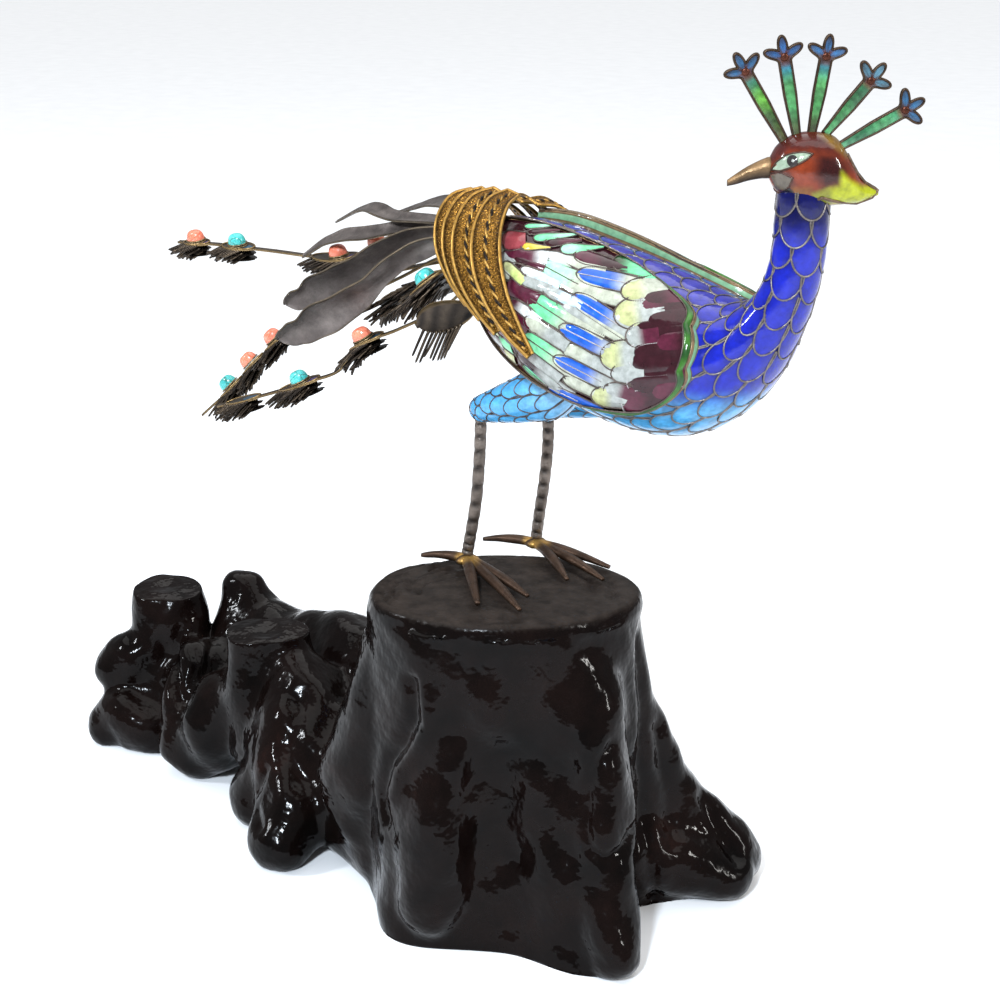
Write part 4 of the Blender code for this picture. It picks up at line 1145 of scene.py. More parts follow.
# Tints along each strip from foot to fork, then the petals' tint
CREST_TINTS = [
    ([(0.06, 0.06, 0.02), (0.04, 0.09, 0.025), (0.10, 0.30, 0.04), (0.03, 0.16, 0.14)], (0.03, 0.11, 0.23)),
    ([(0.06, 0.08, 0.03), (0.06, 0.24, 0.08), (0.07, 0.27, 0.09), (0.012, 0.12, 0.22)], (0.025, 0.09, 0.23)),
    ([(0.06, 0.08, 0.03), (0.05, 0.20, 0.06), (0.08, 0.29, 0.09), (0.015, 0.13, 0.20)], (0.03, 0.10, 0.22)),
    ([(0.08, 0.28, 0.11), (0.05, 0.20, 0.07), (0.035, 0.12, 0.05), (0.03, 0.12, 0.06)], (0.08, 0.19, 0.26)),
    ([(0.10, 0.30, 0.16), (0.03, 0.13, 0.06), (0.08, 0.29, 0.12), (0.04, 0.18, 0.09)], (0.03, 0.11, 0.22)),
]


def trefoil_reach(degrees):
    """Distance from the fork to the three-petal end's edge."""
    turns = (-PETAL_TURN, 0, PETAL_TURN)
    petal = max(math.exp(-(angle_between(degrees, turn) / 21.0) ** 2) for turn in turns)
    return FORK_REACH + (PETAL_REACH - FORK_REACH) * petal


def crest_outline(foot, fork, steps):
    """Outline in the head's plane as (back, z), with the nearest place on the middle line for each point."""
    along = fork - foot
    length = along.length
    along = along.normalized()
    across = Vector((along.y, -along.x))
    start = 180 - math.degrees(math.asin(PLUME_HALF / FORK_REACH))
    reach = length - math.sqrt(FORK_REACH ** 2 - PLUME_HALF ** 2)
    side = [(-PLUME_ROOT, PLUME_FOOT_HALF)]
    for k in range(steps):
        u = reach * k / steps
        side.append((u, PLUME_FOOT_HALF + (PLUME_HALF - PLUME_FOOT_HALF) * min(1.0, 2 * u / length)))
    points = [(u, -v) for u, v in side]
    count = 66
    for i in range(count + 1):
        degrees = -start + 2 * start * i / count
        reach = trefoil_reach(degrees)
        a = math.radians(degrees)
        points.append((length + reach * math.cos(a), reach * math.sin(a)))
    points += reversed(side)
    made = []
    for u, v in points:
        on = min(max(u, -PLUME_ROOT), length)
        made.append((foot + along * u + across * v, foot + along * on, u / length, math.hypot(u - length, v)))
    return made


def crest_foot(foot_back, fork_back, fork_z):
    """The foot's middle, so that its lower corner clears the head."""
    crown = head_top(foot_back)
    along = Vector((fork_back - foot_back, fork_z - crown)).normalized()
    dips = []
    for way in (-PLUME_FOOT_HALF, PLUME_FOOT_HALF):
        corner = (foot_back + along.y * way, crown - along.x * way)
        dips.append(head_top(corner[0]) - corner[1])
    return Vector((foot_back, crown + max(dips) + CREST_FOOT_GAP))


def crest_tint(number, place, reach):
    strip, petal = CREST_TINTS[number - 1]
    if place > 0.93:
        inner = mix((0.06, 0.018, 0.012), petal, smoothstep(0.7, 1.2, reach))
        return mix(inner, tuple(c * 0.6 for c in petal), smoothstep(2.3, 2.9, reach))
    at = min(max(place, 0.0), 0.93) / 0.93 * (len(strip) - 1)
    k = min(int(at), len(strip) - 2)
    return mix(mix(strip[k], strip[k + 1], smoothstep(0.0, 1.0, at - k)), (0.13, 0.04, 0.02),
               0.8 * smoothstep(0.84, 0.93, place))


def flat_rim(skin, path, normal, wide, deep, tint, sides=8):
    """A band with an oval section all round a closed path in a plane."""
    rings = []
    for before, p, after in zip(path[-1:] + path[:-1], path, path[1:] + path[:1]):
        across = (after - before).cross(normal).normalized()
        angles = [round_angle(k, sides) for k in range(sides)]
        rings.append([(p + across * math.cos(a) * wide + normal * math.sin(a) * deep, tint) for a in angles])
    skin.sheet(rings + rings[:1], around=True)


def crest_face(skin, number, outline, way, waves):
    """One enamelled face of a plume: it swells from the rim to the middle line."""
    grid = []
    for s, high in ((0.0, 0.30), (0.45, 0.29), (0.75, 0.25), (0.92, 0.18), (1.0, 0.0)):
        row = []
        for q, axis, place_on, reach in outline:
            spot = axis + (q - axis) * s
            cloud = math.sin(place_on * 17 + waves[0]) * math.sin(place_on * 31 + waves[1] + 2 * s)
            base = crest_tint(number, place_on, reach * max(s, 0.3))
            tint = tuple(c * (0.86 + 0.38 * cloud) for c in base)
            tint = mix(tint, (0.05, 0.028, 0.016), 0.75 * smoothstep(0.55, 0.95, s))
            row.append((head_place(spot.x, spot.y, high * way), tint))
        grid.append(row if way > 0 else list(reversed(row)))
    skin.sheet(grid)


def make_crest():
    for number, (foot_back, fork_back, fork_z) in enumerate(CREST, 1):
        skin = Skin()
        wires = Skin()
        fork = Vector((fork_back, fork_z))
        outline = crest_outline(crest_foot(foot_back, fork_back, fork_z), fork, 22)
        rng = random.Random(number)
        waves = (rng.uniform(0, 6.28), rng.uniform(0, 6.28))
        for way in (-1, 1):
            crest_face(skin, number, outline, way, waves)
        inset = [q + (axis - q) * RIM_INSET / max((q - axis).length, 0.2)
                 for q, axis, place_on, reach in outline]
        rim = [head_place(q.x, q.y) for q in inset]
        flat_rim(wires, rim, HEAD_SIDE, 0.20 * MM, 0.43 * MM, (0.05, 0.030, 0.018))
        for way in (-1, 1):
            knob = [head_place(fork.x, fork.y, side * way) for side in (0.15, 0.34, 0.44)]
            wires.tube(knob, [0.65 * MM, 0.55 * MM, 0.3 * MM], 12, (0.07, 0.022, 0.013))
        skin.build("crest_enamel_%d" % number, ENAMEL, "crest_enamel", ("crest_plume_%d" % number,))
        wires.build("crest_rim_%d" % number, WIRE, "bronze")


# Thighs and legs: rows of places in mm, the thighs' with their radii.
THIGH_RIGHT = [
    (14.0, 6.0, 97.0, 6.0),
    (8.0, 4.6, 94.2, 5.0),
    (1.0, 3.4, 91.2, 3.7),
    (-5.5, 3.0, 88.7, 2.5),
    (-8.8, 3.0, 87.5, 1.8),
    (-9.7, 3.0, 87.16, 0.9),
]
THIGH_SHIFT_LEFT = (2.9, 14.4, -1.9)
THIGH_ROOT = 4.0
THIGH_SCALES = [1.0, 1.42, 1.84, 2.26, 2.68, 3.12, 3.6, 4.05]
LEG_ROOT = 1.5


def make_thigh(name, shift):
    skin = Skin()
    wires = Skin()
    rows = [(x + shift[0], y + shift[1], z + shift[2], r) for x, y, z, r in THIGH_RIGHT]
    off = rows[0][1] - MIDLINE / MM
    reach_in = math.copysign(max(0.0, abs(off) - THIGH_ROOT), off)

    def surface(a, b, lift):
        a = min(max(a, 0.0), len(rows) - 1.0)
        here = spline(rows, a)
        ahead = mm(*(spline(rows, a + 0.05) - spline(rows, a - 0.05))[:3]).normalized()
        side = ahead.cross(Vector((0, 0, 1))).normalized()
        up = side.cross(ahead)
        root = smoothstep(1.5, 0.3, a)
        middle = mm(here[0], here[1] - reach_in * root, here[2] + 1.2 * root)
        return middle + (side * math.sin(b) + up * math.cos(b)) * (here[3] * (1 - 0.45 * root) * MM + lift)

    def tint(a):
        blue = mix(SKY, ICE, 0.3 * smoothstep(2.0, 0.6, a))
        return mix(blue, (0.10, 0.06, 0.03), smoothstep(4.1, 4.6, a))

    skin.form(50, 48, lambda f, b: (surface(0.6 + 4.4 * f, b, -0.04 * MM), tint(5 * f)))
    for row, t in enumerate(THIGH_SCALES):
        count = max(5, int(round(2 * math.pi * float(spline(rows, t)[3]) / 3.3)))
        for k in range(count):
            spot = (t, round_angle(k + 0.5 * (row % 2), count))
            scale(skin, wires, lambda a, b, lift: surface(2 * t - a, b, lift), spot,
                  (0.42, round_angle(0.54, count)), lambda p, a, s, v: tint(2 * t - a), 0.22, 0.13,
                  (0.10, 0.09, 0.09))
    skin.build(name + "_enamel", ENAMEL, "sky_enamel", (name,))
    wires.build(name + "_wires", WIRE, "dark_silver")


LEG_RIGHT = [
    (-8.4, 3.0, 85.3),
    (-8.7, 3.0, 79.4),
    (-9.5, 3.0, 71.4),
    (-10.9, 3.0, 64.4),
    (-11.7, 3.0, 60.8),
]
LEG_LEFT = [
    (-5.4, 17.0, 83.3),
    (-5.4, 17.0, 78.5),
    (-6.1, 17.0, 72.0),
    (-7.1, 17.0, 66.0),
    (-7.9, 17.0, 60.8),
]
LEG_RADIUS = 1.05
NOTCHES = 12


def make_leg(name, rows):
    """Notched round wire, its upper end drawn on into the thigh."""
    skin = Skin()
    rows = [(rows[0][0] + 0.15, rows[0][1], rows[0][2] + LEG_ROOT)] + rows

    def notched(f, a):
        t = (len(rows) - 1) * f
        ahead = mm(*(spline(rows, t + 0.05) - spline(rows, t - 0.05))).normalized()
        side = (HEAD_SIDE - ahead * HEAD_SIDE.dot(ahead)).normalized()
        pit = math.exp(-(((f * NOTCHES) % 1.0 - 0.5) / 0.17) ** 2)
        front = max(0.0, math.cos(a - 0.35)) ** 2
        radius = LEG_RADIUS * (1 - 0.07 * pit - 0.22 * pit * front)
        shade = mix((0.16, 0.13, 0.11), (0.02, 0.016, 0.014), pit * (0.3 + 0.7 * front))
        shade = mix((0.24, 0.15, 0.08), shade, smoothstep(0.0, 0.12, f))
        out = side * math.cos(a) + ahead.cross(side) * math.sin(a)
        return mm(*spline(rows, t)) + out * radius * MM, shade

    skin.form(NOTCHES * 10, 18, notched)
    skin.build(name + "_wire", WORN_METAL, "dark_silver", (name,))


# Feet: four tapered toes from a soldered knob. Toe tips from the ankle, in mm.
TOES_RIGHT = [(13.4, -11.9), (20.2, -9.1), (17.4, -3.9), (-8.6, -2.6)]
TOES_LEFT = [(13.9, -8.0), (18.5, -3.9), (15.8, 1.2), (-9.6, -3.5)]
ANKLE_HEIGHT = 59.5
TIP_HEIGHT = 58.75
TOE_RISE = ((0.0, 0.0), (0.3, 0.4), (0.65, 0.4), (1.0, 0.0))
FOOT_GOLD = (0.42, 0.24, 0.06)
FOOT_BROWN = (0.055, 0.030, 0.018)


def add_toe(skin, knob, tip, wave):
    corners = [tuple((knob.lerp(tip, f) + mm(0, 0, rise)) / MM) for f, rise in TOE_RISE]
    path = []
    radii = []
    for i in range(31):
        f = i / 30
        path.append(mm(*spline(corners, 3 * f)) + HEAD_BACK * wave * MM * math.sin(math.pi * f) * 0.6)
        radii.append((1.12 - 0.34 * f - 0.36 * f ** 5 + 0.05 * math.sin(9 * f + wave * 9)) * MM)
    rings = []
    for i, ring in enumerate(tube_rings(path, radii, 14, 0.82)):
        shade = mix(FOOT_GOLD, FOOT_BROWN, smoothstep(0.10, 0.30, i / 30))
        rings.append([(p, shade) for p in ring])
    skin.closed(rings)


def make_foot(name, ankle, toes, seed):
    skin = Skin()
    rng = random.Random(seed)
    knob = mm(ankle[0], ankle[1], ANKLE_HEIGHT)
    for dx, dy in toes:
        add_toe(skin, knob, mm(ankle[0] + dx, ankle[1] + dy, TIP_HEIGHT), rng.uniform(-0.3, 0.3))

    def lumpy(f, b):
        a = math.pi * (1 - f)
        lump = 1 + 0.10 * math.sin(3 * b + seed) * math.sin(a) + 0.06 * math.sin(5 * b - 2 * seed)
        flat = Vector((math.cos(b), math.sin(b), 0)) * math.sin(a) * 2.0 * lump * MM
        shade = mix(FOOT_GOLD, FOOT_BROWN, 0.5 - 0.5 * math.sin(4 * b))
        return knob + flat + mm(0, 0, 0.95 * math.cos(a)), shade

    skin.form(12, 24, lumpy)
    skin.build(name + "_metal", WORN_METAL, "bronze", (name,))


def ribbon_frame(rows, u, hint):
    """Point, half width, way along, way across and way out for a strip following the rows."""
    last = len(rows) - 1
    here = spline(rows, last * u)
    ahead = spline(rows, last * min(u + 0.02, 1.0))
    behind = spline(rows, last * max(u - 0.02, 0.0))
    along = mm(*(ahead[:3] - behind[:3])).normalized()
    across = (hint - along * hint.dot(along)).normalized()
    return mm(*here[:3]), here[3] * MM, along, across, along.cross(across)


def thin_plate(skin, point, steps, across, thickness, tint):
    """A surface given by u along and v across (-1 to 1), thickened to both sides."""
    def normal(u, v):
        du = point(min(u + 0.01, 1.0), v) - point(max(u - 0.01, 0.0), v)
        dv = point(u, min(v + 0.02, 1.0)) - point(u, max(v - 0.02, -1.0))
        return du.cross(dv).normalized()

    sides = []
    for way in (-1, 1):
        grid = []
        for i in range(steps + 1):
            row = []
            for j in range(across + 1):
                u, v = i / steps, 2 * j / across - 1
                row.append((point(u, v) + normal(u, v) * way * thickness * MM / 2, tint(u, v)))
            grid.append(row if way > 0 else list(reversed(row)))
        sides.append(skin.sheet(grid))
    join_edges(skin, sides[0], sides[1], steps, across)


# Gilt leaves round the tail base. Rows run from the rounded top down to the tip: place along the body,
# degrees round from the back, height over the body and half width in mm.
LEAF_ROWS = [
    (0.34, 9, 5.0, 1.2),
    (0.26, 26, 5.3, 2.0),
    (0.26, 45, 4.9, 2.4),
    (0.34, 62, 4.3, 2.4),
    (0.54, 76, 3.9, 2.0),
    (0.80, 87, 3.5, 1.4),
    (1.10, 96, 3.4, 0.5),
]
LEAF_STEP = 0.34
LEAF_LOWER_LEFT = (1.8, 1.4, 0.95, 0.45, 0.1, 0.0, 0.0)
LEAF_DROP_LEFT = (0.35, 0.35, 0.35, 0.1, 0.1, 0.1, 0.1)
LEAF_LETTERS = "abcd"
LEAF_EDGE = 0.93


def leaf_frame(path, u):
    """A leaf spreads forwards, and near its top a little outwards and down too."""
    return ribbon_frame(path, u, Vector((1.0, 0.34 * min(u * 2, 1), -0.34 * (1 - u))))


def make_leaf(name, rows, mirror):
    skin = Skin(flip=mirror)
    ropes = Skin(flip=mirror)
    path = []
    for t, phi, lift, half in rows:
        p = body_point(t, -math.radians(phi), lift * MM)
        path.append((p.x / MM, p.y / MM, p.z / MM, half))

    def point(u, v, rise=0.0):
        p, half, along, across, out = leaf_frame(path, u)
        q = p + across * half * v + out * rise * MM
        if mirror:
            q.y = 2 * MIDLINE - q.y
        return q

    def tint(u, v):
        near = 1 - min(abs(v), 1.0)
        return mix((0.030, 0.017, 0.008), (0.29, 0.155, 0.032), smoothstep(0.15, 0.55, near) * (1 - 0.45 * u))

    thin_plate(skin, point, 60, 14, 0.3, tint)
    skin.build(name + "_sheet", GOLD_SHEET, "gilt_silver", (name,))
    rim = [point(1 - k / 40, -LEAF_EDGE) for k in range(40)]
    rim += [point(0.004, LEAF_EDGE * (k / 4 - 1)) for k in range(9)]
    rim += [point(k / 40, LEAF_EDGE) for k in range(2, 41)]
    ropes.line(rim, 0.30, 8, (0.38, 0.21, 0.048))
    for turn in (0, math.pi):
        strand = []
        for k in range(221):
            u = 0.03 + 0.93 * k / 220
            a = 2 * math.pi * u * 13 + turn
            half = leaf_frame(path, u)[1]
            strand.append(point(u, 0.17 * MM / max(half, 0.2 * MM) * math.sin(a), 0.17 * math.cos(a)))
        ropes.tube(strand, None, 6, (0.38, 0.22, 0.055) if turn else (0.014, 0.010, 0.008), 0.24 * MM)
    ropes.build(name + "_ropes", WIRE, "gilt_silver")


def make_leaves():
    for k, letter in enumerate(LEAF_LETTERS):
        rows = []
        for i, (t, phi, lift, half) in enumerate(LEAF_ROWS):
            stretch = 1 + 0.3 * i / 6 + (0.4 * i / 6 if letter == "d" else 0.0)
            rows.append((t + LEAF_STEP * k * stretch, phi, lift, half))
        make_leaf("gilt_leaf_right_" + letter, rows, False)
        lower = [(t, phi, lift - low - drop * k / 3, half) for (t, phi, lift, half), low, drop
                 in zip(rows, LEAF_LOWER_LEFT, LEAF_DROP_LEFT)]
        make_leaf("gilt_leaf_left_" + letter, lower, True)


# Grey sheet feathers of the tail: rows (x, y, z, half width), the way they spread, and how wavy the edge is.
SHEETS = {
    "sheet_feather_1": ([(-15.7, 12.2, 117.4, 1.0), (-21, 13, 119.2, 1.9), (-31, 16, 118.2, 1.5),
                         (-45, 20, 113.8, 0.35)], (0.1, 0.8, 0.5), 0.05),
    "sheet_feather_2": ([(-15.6, 9.0, 116.6, 0.8), (-24, 10, 116.6, 1.1), (-38, 13, 115.2, 1.5),
                         (-48, 15.5, 115.2, 1.7), (-59, 18, 110.8, 0.35)], (0.1, 0.9, 0.4), 0.05),
    "sheet_feather_3": ([(-15.2, 11.2, 114.9, 0.8), (-24, 12, 114.9, 1.2), (-34, 12.2, 114.0, 1.5),
                         (-44, 12, 111.6, 1.8), (-54, 12, 109.2, 1.9), (-61, 11, 105.0, 0.5)],
                        (0.0, 0.8, 0.6), 0.06),
    "sheet_feather_4": ([(-15.0, 7.4, 113.6, 0.8), (-22, 7.6, 114.6, 1.7), (-30, 6, 112.0, 2.4),
                         (-38, 4.4, 107.4, 2.9), (-45, 3, 103.0, 3.1), (-51.5, 2, 99.8, 2.6),
                         (-55.5, 1.4, 98.2, 1.2)], (0.35, -0.35, 0.85), 0.08),
    "sheet_feather_5": ([(-14.9, 5.6, 112.4, 0.8), (-19.5, 4.4, 113.8, 1.6), (-26, 2.2, 110.4, 2.2),
                         (-32, 0, 105.2, 2.8), (-39, -2, 99.8, 3.2), (-46, -3.4, 95.6, 3.1),
                         (-51.5, -4.2, 93.4, 1.4)], (0.4, -0.35, 0.85), 0.09),
}


def make_sheet(name, rows, hint, wave, seed):
    skin = Skin()
    hint = Vector(hint)

    def point(u, v):
        p, half, along, across, out = ribbon_frame(rows, u, hint)
        edge = 1 + wave * math.sin(17 * u + 2.2 * v) + 0.5 * wave * math.sin(41 * u + seed)
        edge -= 0.16 * math.exp(-((u - 0.84 + 0.03 * v) / 0.035) ** 2)
        if u > 0.93:
            edge *= math.sqrt(max(0.02, 1 - ((u - 0.93) / 0.07) ** 2)) if half > 0.8 * MM else 1.0
        bend = 0.25 * half * (1 - v * v) + wave * half * 1.6 * v * math.sin(11 * u)
        return p + across * half * edge * v + out * bend

    def tint(u, v):
        cloud = 0.5 + 0.5 * math.sin(7 * u + 3 * v + seed) * math.sin(19 * u - 2 * v)
        shade = mix((0.095, 0.078, 0.072), (0.15, 0.128, 0.118), cloud)
        worn = 0.8 * smoothstep(0.93, 1.0, abs(v)) + 0.5 * smoothstep(0.12, 0.0, u)
        return mix(shade, (0.10, 0.075, 0.045), worn)

    thin_plate(skin, point, 90, 18, 0.34, tint)
    skin.build(name + "_metal", WORN_METAL, "dark_silver", (name,))


# Fringe plumes: a narrow strip widening into plates, with wire fringes on the plates' outer halves.
# Each: path rows (x, y, z), plates as (place along the path, half length in mm, half width in mm),
# beads as (plate number, colour), the way the plates spread, and the fringe wires' length.
STEM_HALF = 0.45
STRIP_THICK = 0.55
FRINGE_RADIUS = 0.24
LAYER_GAP = 0.75
FRINGE_BLACK = (0.022, 0.016, 0.012)
FRINGE_LEAN = (0.86, 0.42, 0.28)
PLUMES = {
    "fringe_plume_1": ([(-14.9, 12.6, 113.2), (-28, 13.6, 112.6), (-43, 14, 108.6), (-53, 13, 105.4),
                        (-72, 12, 104.4), (-86, 11, 103.8), (-97, 10, 103.0)],
                       [(0.34, 4.6, 1.9), (0.50, 5.5, 2.3), (0.76, 4.4, 2.0), (0.92, 4.4, 1.8)],
                       [(0, "coral"), (1, "coral"), (2, "turquoise"), (3, "coral")], (0.1, -1.0, -0.2), 3.4),
    "fringe_plume_2": ([(-14.6, 9.4, 111.3), (-24, 10, 110.0), (-34, 9.6, 105.0), (-50, 9, 97.2),
                        (-62, 8, 91.0), (-70, 7, 84.6), (-77, 5.6, 77.6), (-85, 4, 70.6)],
                       [(0.63, 4.2, 2.0), (0.75, 4.0, 2.0), (0.86, 4.0, 2.2)],
                       [(0, "coral"), (1, "coral"), (2, "turquoise")], (0.5, -1.0, -0.2), 3.6),
    "fringe_plume_3": ([(-13.6, 6.4, 107.8), (-17, 3.0, 103.6), (-25.5, 0.6, 98.8), (-34, -0.6, 94.9),
                        (-38.5, -1, 89.6), (-46, -1.8, 86.2), (-58, -2.4, 81.4), (-71, -3, 76.8)],
                       [(0.40, 4.6, 2.3), (0.74, 4.6, 2.0), (0.92, 3.6, 1.5)],
                       [(0, "coral"), (1, "turquoise")], (0.1, -1.0, -0.3), 3.4),
    "fringe_plume_4": ([(-14.4, 8.0, 110.4), (-16.6, 4.4, 110.0), (-20.0, 2.0, 107.0), (-24.6, 0.4, 103.0)],
                       [(0.62, 3.6, 2.0)], [(0, "turquoise")], (0.5, -1.0, 0.2), 4.0),
    "fringe_plume_5": ([(-14.6, 11.0, 111.6), (-26, 11.6, 108.8), (-38, 11.4, 105.4), (-49, 10.6, 103.4),
                        (-57, 9.6, 101.4)],
                       [(0.78, 6.0, 2.0)], [], (0.2, -1.0, -0.4), 4.6),
    "fringe_plume_6": ([(-13.7, 9.6, 109.2), (-21, 9.0, 107.6), (-28, 8.0, 104.6), (-36, 7.0, 100.4)],
                       [(0.45, 6.0, 2.6), (0.85, 3.4, 1.8)], [], (0.3, -0.9, 0.5), 4.2),
}
PADDLE = [(-8.4, 2.9, 105.2), (-12.0, 0.6, 103.8), (-15.5, -0.8, 102.4), (-18.4, -2.0, 101.2)]


def path_length(rows):
    points = [spline(rows, (len(rows) - 1) * i / 60)[:3] for i in range(61)]
    return sum(float(np.linalg.norm(b - a)) for a, b in zip(points, points[1:]))


class Plume:
    """A strip with oval plates, each with a gold wire round it and fringe wires along its outer half."""

    def __init__(self, rows, plates, hint, seed):
        self.rows = [(*row, 1.0) for row in rows]
        self.plates = plates
        self.hint = Vector(hint)
        self.seed = seed
        self.length = path_length(rows)
        self.rng = random.Random(seed)
        self.skin = Skin()
        self.fringe = Skin()

    def frame(self, u):
        """Point, way along, way across and way out."""
        p, one, along, across, out = ribbon_frame(self.rows, min(max(u, 0.0), 1.0), self.hint)
        return p, along, across, out

    def half(self, u):
        wide = STEM_HALF
        for middle, half_length, half_width in self.plates:
            away = (u - middle) * self.length / half_length
            if abs(away) < 1:
                wide = max(wide, half_width * (1 - away * away) ** 0.5)
        return wide * MM

    def point(self, u, v):
        p, along, across, out = self.frame(u)
        half = self.half(u)
        return p + across * half * v + out * 0.12 * half * v * v

    def tint(self, u, v):
        cloud = 0.5 + 0.5 * math.sin(23 * u + 4 * v + self.seed)
        shade = mix((0.020, 0.015, 0.012), (0.06, 0.045, 0.033), cloud)
        return mix(shade, (0.15, 0.10, 0.045), smoothstep(0.85, 1.0, abs(v)))

    def add_gold_wire(self, middle, half_length, half_width):
        loop = []
        for k in range(41):
            a = round_angle(k, 40)
            p, along, across, out = self.frame(middle + math.cos(a) * half_length * 0.97 / self.length)
            loop.append(p + across * half_width * 0.95 * math.sin(a) * MM + out * 0.30 * MM)
        self.fringe.tube(resample(loop, 0.35 * MM), None, 6, (0.26, 0.17, 0.07), 0.15 * MM)

    def add_enamel(self, middle, half_length, half_width):
        """A small patch of dark enamel on the plate's inner half."""
        shade = (0.10, 0.07, 0.20) if self.rng.random() < 0.5 else (0.04, 0.10, 0.16)

        def spot(s, g):
            a = 2.6 * g - 1.3
            p, along, across, out = self.frame(middle - math.cos(a) * s * half_length * 0.86 / self.length)
            wide = half_width * 0.8 * math.sin(a) * s
            return p + (across * wide + out * (0.24 + 0.06 * (1 - s))) * MM, shade

        self.skin.area(8, 12, spot)

    def add_fringe(self, middle, half_length, wire, lean, sides, wires, layers):
        rng = self.rng
        for k in range(wires * layers):
            share = (k % wires) / (wires - 1)
            layer = k // wires
            u = middle + (1.45 * share - 0.5) * half_length / self.length * 0.94
            if u > 1.0:
                continue
            p, along, across, out = self.frame(u)
            for way in sides:
                reach = along * lean[0] + across * way * lean[1] - Vector((0, 0, lean[2] * (1 + 0.5 * layer)))
                start = p + across * way * self.half(u) * (0.85 - 0.3 * layer) - out * LAYER_GAP * layer * MM
                sag = rng.uniform(-0.10, 0.10)
                reach *= wire * (1 + rng.uniform(-0.12, 0.12)) * (1 - 0.15 * layer) * MM
                bow = (out * sag + across * sag * 0.6) * reach.length
                path = [start + reach * f + bow * f * f for f in (0.0, 0.2, 0.4, 0.6, 0.8, 1.0, 1.05)]
                radii = [FRINGE_RADIUS * MM * share for share in (1.2, 1.1, 1.05, 1.0, 0.95, 0.85, 0.4)]
                self.fringe.tube(path, radii, 7, mix(FRINGE_BLACK, (0.085, 0.062, 0.042), rng.random() ** 2))

    def add_under_plate(self, middle, half_length, half_width, layer):
        """The thin plate that carries a lower layer of fringe wires."""

        def spot(f, g):
            u, v = 2 * f - 1, 2 * g - 1
            p, along, across, out = self.frame(middle + u * half_length * 0.98 / self.length)
            half = half_width * math.sqrt(max(0.03, 1 - u * u)) * MM
            drop = out * (LAYER_GAP * layer + 0.15 * v * v) * MM + mm(0, 0, 0.25 * layer)
            return p + across * half * v - drop, FRINGE_BLACK

        self.skin.area(12, 8, spot)

    def build(self, name, wire, lean, sides=(1, -1), wires=8, layers=3):
        thin_plate(self.skin, self.point, 150, 8, 0.42, self.tint)
        for middle, half_length, half_width in self.plates:
            self.add_gold_wire(middle, half_length, half_width)
            self.add_enamel(middle, half_length, half_width)
            self.add_fringe(middle, half_length, wire, lean, sides, wires, layers)
            for layer in range(1, layers):
                self.add_under_plate(middle, half_length, half_width, layer)
        self.skin.build(name + "_strip", WORN_METAL, "dark_silver", (name,))
        self.fringe.build(name + "_wires", WIRE, "dark_silver")


BEAD_HALF_LONG = 2.0
BEAD_HALF_WIDE = 1.6
BEAD_TALL = 2.0
BEAD_FOOT = STRIP_THICK / 2 + 0.39
ROOT_LUMP = 1.5


def make_bead(name, mat, slot, spot, along, across, out, seed):
    """A cabochon in a thin bezel."""
    skin = Skin()
    bezel = Skin()
    rng = random.Random(seed)
    lean = rng.uniform(-0.06, 0.06)
    foot = spot + out * BEAD_FOOT * MM

    def dome(f, a):
        high = math.sin(f * math.pi / 2) ** 0.9
        wide = 0.97 * math.cos(f * math.pi / 2) ** 0.62
        off = (out * high * BEAD_TALL + along * (wide * BEAD_HALF_LONG * math.cos(a) + lean * high)
               + across * wide * BEAD_HALF_WIDE * math.sin(a))
        return foot + off * MM, (1, 1, 1)

    skin.form(16, 32, dome)
    skin.build(name + "_stone", mat, slot, (name,))
    angles = [round_angle(k, 36) for k in range(37)]
    for high, radius in ((-0.30, 0.20), (0.10, 0.15)):
        loop = [foot + (out * high + along * 1.02 * BEAD_HALF_LONG * math.cos(a)
                        + across * 1.02 * BEAD_HALF_WIDE * math.sin(a)) * MM for a in angles]
        bezel.tube(loop, None, 7, (0.20, 0.14, 0.07), radius * MM)
    bezel.build(name + "_bezel", WIRE, "dark_silver")


def make_tail_root():
    """The lump of solder on the body's end that the feather roots come out of."""
    skin = Skin()
    middle = (body_point(0, 0) + body_point(0, math.pi)) / 2
    end = (body_point(0, 0) - middle).normalized()
    out = Vector((0.0, 1.0, 0.0)).cross(end)
    out = -out if out.x > 0 else out

    def lumpy(f, phi):
        lump = math.sin(5 * phi + 9 * f) * math.sin(3 * phi - 7 * f)
        high = ROOT_LUMP * math.sqrt(1 - (1 - f) ** 2) * (1 + 0.22 * lump)
        p = body_point(0.03, phi, 0.05 * MM).lerp(middle, 0.99 * f) + out * high * MM
        return p, mix((0.035, 0.024, 0.016), (0.20, 0.125, 0.055), 0.5 + 0.5 * lump)

    skin.form(14, 60, lumpy)
    skin.build("tail_root_metal", WORN_METAL, "dark_silver")


def make_tail():
    make_tail_root()
    for k, (name, (rows, hint, wave)) in enumerate(SHEETS.items()):
        make_sheet(name, rows, hint, wave, k)
    counts = {"coral": 0, "turquoise": 0}
    stones = {"coral": CORAL, "turquoise": TURQUOISE}
    for k, (name, (rows, plates, beads, hint, wire)) in enumerate(PLUMES.items()):
        plume = Plume(rows, plates, hint, k)
        plume.build(name, wire, FRINGE_LEAN)
        for index, colour in beads:
            counts[colour] += 1
            p, along, across, out = plume.frame(plates[index][0])
            if out.z < 0:
                out = -out
            number = counts[colour]
            make_bead("%s_bead_%d" % (colour, number), stones[colour], colour, p, along, across, out, number)
    paddle = Plume(PADDLE, [(0.52, 5.2, 3.0)], (0.35, -0.25, 0.9), 9)
    paddle.build("fringe_paddle", 4.8, (0.74, 0.42, 0.46), (-1,), 10, 1)


